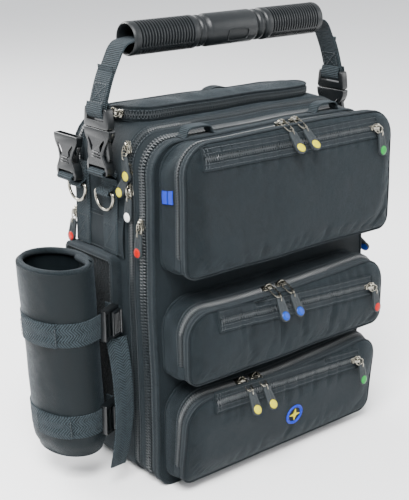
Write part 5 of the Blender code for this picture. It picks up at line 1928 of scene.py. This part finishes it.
def make_cam_buckle(name, z):
    """Ladder frame on the strap's leg and the cam lever hinged over it."""
    along = Vector((math.cos(LEG_ANGLE), math.sin(LEG_ANGLE), 0))
    outward_way = Vector((math.sin(LEG_ANGLE), -math.cos(LEG_ANGLE), 0))
    middle = leg_middle(z) + outward_way * 0.0027

    def spot(a, n, up):
        return middle + along * a + outward_way * n + Z_AXIS * up

    frame_bm = bmesh.new()
    ring = [spot(a, -0.0040, up) for a, up in ((-0.0115, -0.0150), (0.0115, -0.0155), (0.0115, 0.0155), (-0.0115, 0.0150))]
    solid_from(frame_bm, ring, outward_way * 0.0080)
    piece = publish(
        f"cam_buckle_{name}_frame", rounded(frame_bm, 0.0010, 3), plastic(), "rear_module", "moulded_plastic",
        stands_for=(f"cam_buckle_{name}",), soft=False, smooth=30,
    )
    for a, width in ((-0.0078, 0.0030), (-0.0020, 0.0034)):
        window = bmesh.new()
        ring = [spot(a + s, -0.0002, up) for s, up in ((-width / 2, -0.0118), (width / 2, -0.0118), (width / 2, 0.0118), (-width / 2, 0.0118))]
        solid_from(window, ring, outward_way * 0.012)
        carve(piece, window)
    passage = bmesh.new()
    ring = [spot(a, -0.0046, up) for a, up in ((-0.02, -0.0126), (0.02, -0.0126), (0.02, 0.0126), (-0.02, 0.0126))]
    solid_from(passage, ring, outward_way * 0.0036)
    carve(piece, passage)
    piece.data.shade_smooth()
    piece.data.set_sharp_from_angle(angle=math.radians(30))

    lever = bmesh.new()
    ring = [spot(a, 0.0043, up) for a, up in ((-0.0022, -0.0120), (0.0100, -0.0128), (0.0112, -0.0110), (0.0112, 0.0110), (0.0100, 0.0128), (-0.0022, 0.0120))]
    solid_from(lever, ring, outward_way * 0.0026)
    rounded(lever, 0.0008, 2)
    publish(f"cam_lever_{name}_plate", lever, plastic(), f"cam_lever_{name}", "moulded_plastic", stands_for=(f"cam_lever_{name}",), soft=False, smooth=30)
    ridges = bmesh.new()
    for count in range(4):
        station = (spot(0.0002 + count * 0.0022, 0.0070, 0.0), Z_AXIS, outward_way)
        rod(ridges, station, 0.0200, 0.00055, across=True)
    lip = (spot(0.0106, 0.0068, 0.0), Z_AXIS, outward_way)
    rod(ridges, lip, 0.0226, 0.0013, across=True)
    publish(f"cam_lever_{name}_ridges", ridges, plastic(), f"cam_lever_{name}", "moulded_plastic", soft=False)


TAIL_MIDDLE = (
    (-0.1520, -0.0010, 0.148), (-0.1525, -0.0070, 0.130), (-0.1540, -0.0130, 0.105),
    (-0.1560, -0.0165, 0.075), (-0.1595, -0.0165, 0.048), (-0.1635, -0.0140, 0.024),
)


def make_strap_tail():
    """The free end of the upper sleeve strap: a flat length of webbing that hangs past the lower buckle."""
    stations = through(TAIL_MIDDLE, Vector((-0.3, -1, 0)), 7)
    steady = []
    for index, (point, _side, _out) in enumerate(stations):
        ahead = (stations[min(index + 1, len(stations) - 1)][0] - stations[max(index - 1, 0)][0]).normalized()
        twist = math.radians(-14 + 26 * index / (len(stations) - 1))
        across = Matrix.Rotation(twist, 3, "Z") @ X_AXIS
        across = (across - ahead * across.dot(ahead)).normalized()
        steady.append((point, across, across.cross(ahead).normalized()))
    half, thick = 0.0105, 0.0016
    piece = strap("strap_tail_webbing", steady, half, thick, "rear_module", ("strap_tail",), twill())
    run_length(steady)
    tip = steady[-1]
    hem = [(tip[0] - tip[1] * 0.0085, tip[0] + tip[1] * 0.0085)]
    runs = [straight(start + tip[2] * 0.0010 + (steady[-2][0] - tip[0]).normalized() * 0.004, end + tip[2] * 0.0010 + (steady[-2][0] - tip[0]).normalized() * 0.004, tip[2]) for start, end in hem]
    stitched_piece("strap_tail_hem_stitches", runs, "rear_module", 0.0002, soft=False)


# ---------------------------------------------------------------- small marks


def make_tag():
    """A doubled fabric tag sewn into the upper pocket's gusset seam."""
    tag = bmesh.new()
    _base, top, half, split, _front = pocket_span("upper")
    origin = Vector((-half - 0.0006, (split + FRONT_Y) / 2 + 0.001, top - 0.0545))
    stations = [(origin + Z_AXIS * r + X_AXIS * b, Y_AXIS, -X_AXIS) for r, b in ((0.0, 0.0), (0.007, -0.0004), (0.0135, 0.0))]
    sweep(tag, slab((-0.0072, -0.0007), (0.0004, 0.0018), 0.0005), stations)
    sweep(tag, slab((-0.0001, 0.0070), (0.0008, 0.0026), 0.0005), stations)
    publish("gusset_tag", tag, thread_material("tag", 1.3), "front_module", "webbing", shape=pocket_shape("upper"))


def make_emblem():
    """A small embroidered roundel on the lower pocket: a ring with a four-point star."""
    base, _top, _half, _split, front = pocket_span("lower")
    face = bpy.data.objects["lower_pocket_front"]
    probe = height_over([face])
    x, z = 0.008, base + 0.034
    ring = bmesh.new()
    for radius, thick in ((0.0100, 0.0009), (0.0084, 0.0006)):
        wire(ring, Vector((x, 0.0, z)), X_AXIS, Z_AXIS, radius, radius, thick, square=2.0, count=36)
    star = bmesh.new()
    spikes = []
    for index in range(8):
        turn = math.pi / 4 * index + math.pi / 2
        radius = 0.0068 if index % 2 == 0 else 0.0021
        spikes.append(Vector((x + radius * math.cos(turn), 0.0, z + radius * math.sin(turn))))
    solid_from(star, spikes, Vector((0, -0.0010, 0)))
    for name, bm, finish in (
        ("emblem_ring", ring, thread_material("tag", 1.6)), ("emblem_star", star, thread_material("yellow", 0.9)),
    ):
        for vert in bm.verts:
            vert.co.y += probe(vert.co.x, vert.co.z, front) - 0.0002
        publish(name, bm, finish, "lower_lid", "nylon", soft=False)


# ---------------------------------------------------------------- stage

CAMERA_PLACE = (-0.71720, -0.80902, 0.55953)
CAMERA_TURN = (39.8318, 18.3166, -0.4124)  # azimuth, elevation and roll in degrees


def area_light(name, place, target, size, power):
    made = bpy.data.lights.new(name, "AREA")
    made.shape = "RECTANGLE"
    made.size, made.size_y = size
    made.energy = power
    lamp = link(name, made)
    aim = (Vector(target) - Vector(place)).to_track_quat("-Z", "Y").to_matrix().to_4x4()
    lamp.matrix_world = Matrix.Translation(place) @ aim


def make_floor():
    bm = bmesh.new()
    bmesh.ops.create_grid(bm, x_segments=8, y_segments=8, size=6.0)
    mesh = bpy.data.meshes.new("floor")
    bm.to_mesh(mesh)
    bm.free()
    floor = link("floor", mesh)
    made, tree, shader, body, _cloth = start_material("studio_floor", specular=0.1)
    cloud = add_node(tree, "ShaderNodeTexNoise", {"Vector": body, "Scale": 1.5})
    finish_colour(tree, shader, cloud.outputs[0], colour("floor", 0.99), colour("floor", 1.01))
    shader.inputs["Roughness"].default_value = 0.9
    mesh.materials.append(made)


def make_world():
    world = bpy.data.worlds.new("studio")
    world.use_nodes = True
    surface = world.node_tree.nodes["Background"]
    surface.inputs["Color"].default_value = (0.95, 0.97, 1.0, 1.0)
    surface.inputs["Strength"].default_value = 1.30
    bpy.context.scene.world = world


def make_camera():
    azimuth, elevation, roll = (math.radians(angle) for angle in CAMERA_TURN)
    ahead = Vector((math.sin(azimuth) * math.cos(elevation), math.cos(azimuth) * math.cos(elevation), -math.sin(elevation)))
    right = Vector((math.cos(azimuth), -math.sin(azimuth), 0.0))
    above = right.cross(ahead)
    turned = math.cos(roll) * right + math.sin(roll) * above
    upright = math.cos(roll) * above - math.sin(roll) * right
    made = bpy.data.cameras.new("camera")
    made.lens = sizes().lens
    made.sensor_width = 36.0
    made.clip_end = 30.0
    camera = link("camera", made)
    camera.matrix_world = Matrix.Translation(CAMERA_PLACE) @ Matrix((turned, upright, -ahead)).transposed().to_4x4()
    bpy.context.scene.camera = camera


# ---------------------------------------------------------------- operators


class PieceOperator:
    """Base of the builders: each runs its own makers and raises whatever goes wrong."""

    bl_options = {"REGISTER", "UNDO"}

    def execute(self, context):
        self.make()
        return {"FINISHED"}


class FLIGHT_BAG_OT_stage(PieceOperator, bpy.types.Operator):
    """Pale floor, soft studio light and the camera"""

    bl_idname = "flight_bag.stage"
    bl_label = "Stage"

    def make(self):
        make_camera()
        make_world()
        make_floor()
        area_light("key", (-1.1, -0.9, 1.9), (0.0, 0.0, 0.18), (1.0, 1.0), 170.0)
        area_light("fill", (1.7, -1.5, 1.1), (0.0, 0.0, 0.20), (1.4, 1.4), 34.0)
        area_light("back", (-0.5, 1.9, 1.6), (0.0, 0.0, 0.25), (1.6, 1.2), 110.0)


class FLIGHT_BAG_OT_rear_module(PieceOperator, bpy.types.Operator):
    """Rear compartment: padded sides, top mouth, seams and zip halves"""

    bl_idname = "flight_bag.rear_module"
    bl_label = "Rear Module"

    def make(self):
        make_rear_module()


class FLIGHT_BAG_OT_rear_panel(PieceOperator, bpy.types.Operator):
    """Quilted back panel on its own zip"""

    bl_idname = "flight_bag.rear_panel"
    bl_label = "Rear Panel"

    def make(self):
        make_rear_panel()


class FLIGHT_BAG_OT_top_lid(PieceOperator, bpy.types.Operator):
    """Puffed lid of the top compartment, its zip and slider"""

    bl_idname = "flight_bag.top_lid"
    bl_label = "Top Lid"

    def make(self):
        make_top_lid()


class FLIGHT_BAG_OT_centre_band(PieceOperator, bpy.types.Operator):
    """Gusset band between the two zips"""

    bl_idname = "flight_bag.centre_band"
    bl_label = "Centre Band"

    def make(self):
        make_centre_band()


class FLIGHT_BAG_OT_front_module(PieceOperator, bpy.types.Operator):
    """Front module that carries the pockets, with its two webbing loops"""

    bl_idname = "flight_bag.front_module"
    bl_label = "Front Module"

    def make(self):
        make_front_module()
        make_top_loops()


class FLIGHT_BAG_OT_pockets(PieceOperator, bpy.types.Operator):
    """Three zipped pockets with slanted zips on their fronts"""

    bl_idname = "flight_bag.pockets"
    bl_label = "Pockets"

    def make(self):
        for name in POCKETS:
            make_pocket(name)
        make_tag()
        make_emblem()


class FLIGHT_BAG_OT_sliders(PieceOperator, bpy.types.Operator):
    """Zip sliders and moulded pull tabs"""

    bl_idname = "flight_bag.sliders"
    bl_label = "Sliders and Pulls"

    def make(self):
        for name in POCKETS:
            make_pocket_sliders(name)
        make_side_sliders()


class FLIGHT_BAG_OT_handle(PieceOperator, bpy.types.Operator):
    """Ribbed grip, its webbing and the side-release buckles"""

    bl_idname = "flight_bag.handle"
    bl_label = "Handle"

    def make(self):
        make_grip()
        make_handle_strap()
        for side, sign in SIDES:
            make_handle_buckles(side, sign)


class FLIGHT_BAG_OT_side_fittings(PieceOperator, bpy.types.Operator):
    """Webbing uprights, rings and spare buckle halves on both sides"""

    bl_idname = "flight_bag.side_fittings"
    bl_label = "Side Fittings"

    def make(self):
        for side, sign in SIDES:
            make_side_webbing(side, sign)
            make_spare_buckle(side, sign)
            for place in ("front", "rear"):
                make_d_ring(place, side, sign)


class FLIGHT_BAG_OT_sleeve(PieceOperator, bpy.types.Operator):
    """Bottle sleeve on its backing panel, with straps and cam buckles"""

    bl_idname = "flight_bag.sleeve"
    bl_label = "Bottle Sleeve"

    def make(self):
        make_sleeve()
        make_sleeve_straps()
        make_strap_tail()


BUILD_STEPS = (
    FLIGHT_BAG_OT_stage,
    FLIGHT_BAG_OT_rear_module,
    FLIGHT_BAG_OT_rear_panel,
    FLIGHT_BAG_OT_top_lid,
    FLIGHT_BAG_OT_centre_band,
    FLIGHT_BAG_OT_front_module,
    FLIGHT_BAG_OT_pockets,
    FLIGHT_BAG_OT_sliders,
    FLIGHT_BAG_OT_handle,
    FLIGHT_BAG_OT_side_fittings,
    FLIGHT_BAG_OT_sleeve,
)


class FLIGHT_BAG_PT_panel(bpy.types.Panel):
    """Lists the bag's builders, sizes and colours"""

    bl_label = "Flight Bag"
    bl_idname = "FLIGHT_BAG_PT_panel"
    bl_space_type = "VIEW_3D"
    bl_region_type = "UI"
    bl_category = "Flight Bag"

    def draw(self, context):
        layout = self.layout
        for step in BUILD_STEPS:
            layout.operator(step.bl_idname)
        for group in (context.scene.flight_bag_sizes, context.scene.flight_bag_colours):
            box = layout.box()
            for key in type(group).__annotations__:
                box.prop(group, key)


CLASSES = (FlightBagSizes, FlightBagColours, *BUILD_STEPS, FLIGHT_BAG_PT_panel)


def register():
    for item in CLASSES:
        bpy.utils.register_class(item)
    bpy.types.Scene.flight_bag_sizes = PointerProperty(type=FlightBagSizes)
    bpy.types.Scene.flight_bag_colours = PointerProperty(type=FlightBagColours)


def unregister():
    del bpy.types.Scene.flight_bag_sizes
    del bpy.types.Scene.flight_bag_colours
    for item in reversed(CLASSES):
        bpy.utils.unregister_class(item)


def main():
    register()
    for step in BUILD_STEPS:
        family, piece = step.bl_idname.split(".")
        getattr(getattr(bpy.ops, family), piece)()


if __name__ == "__main__":
    main()
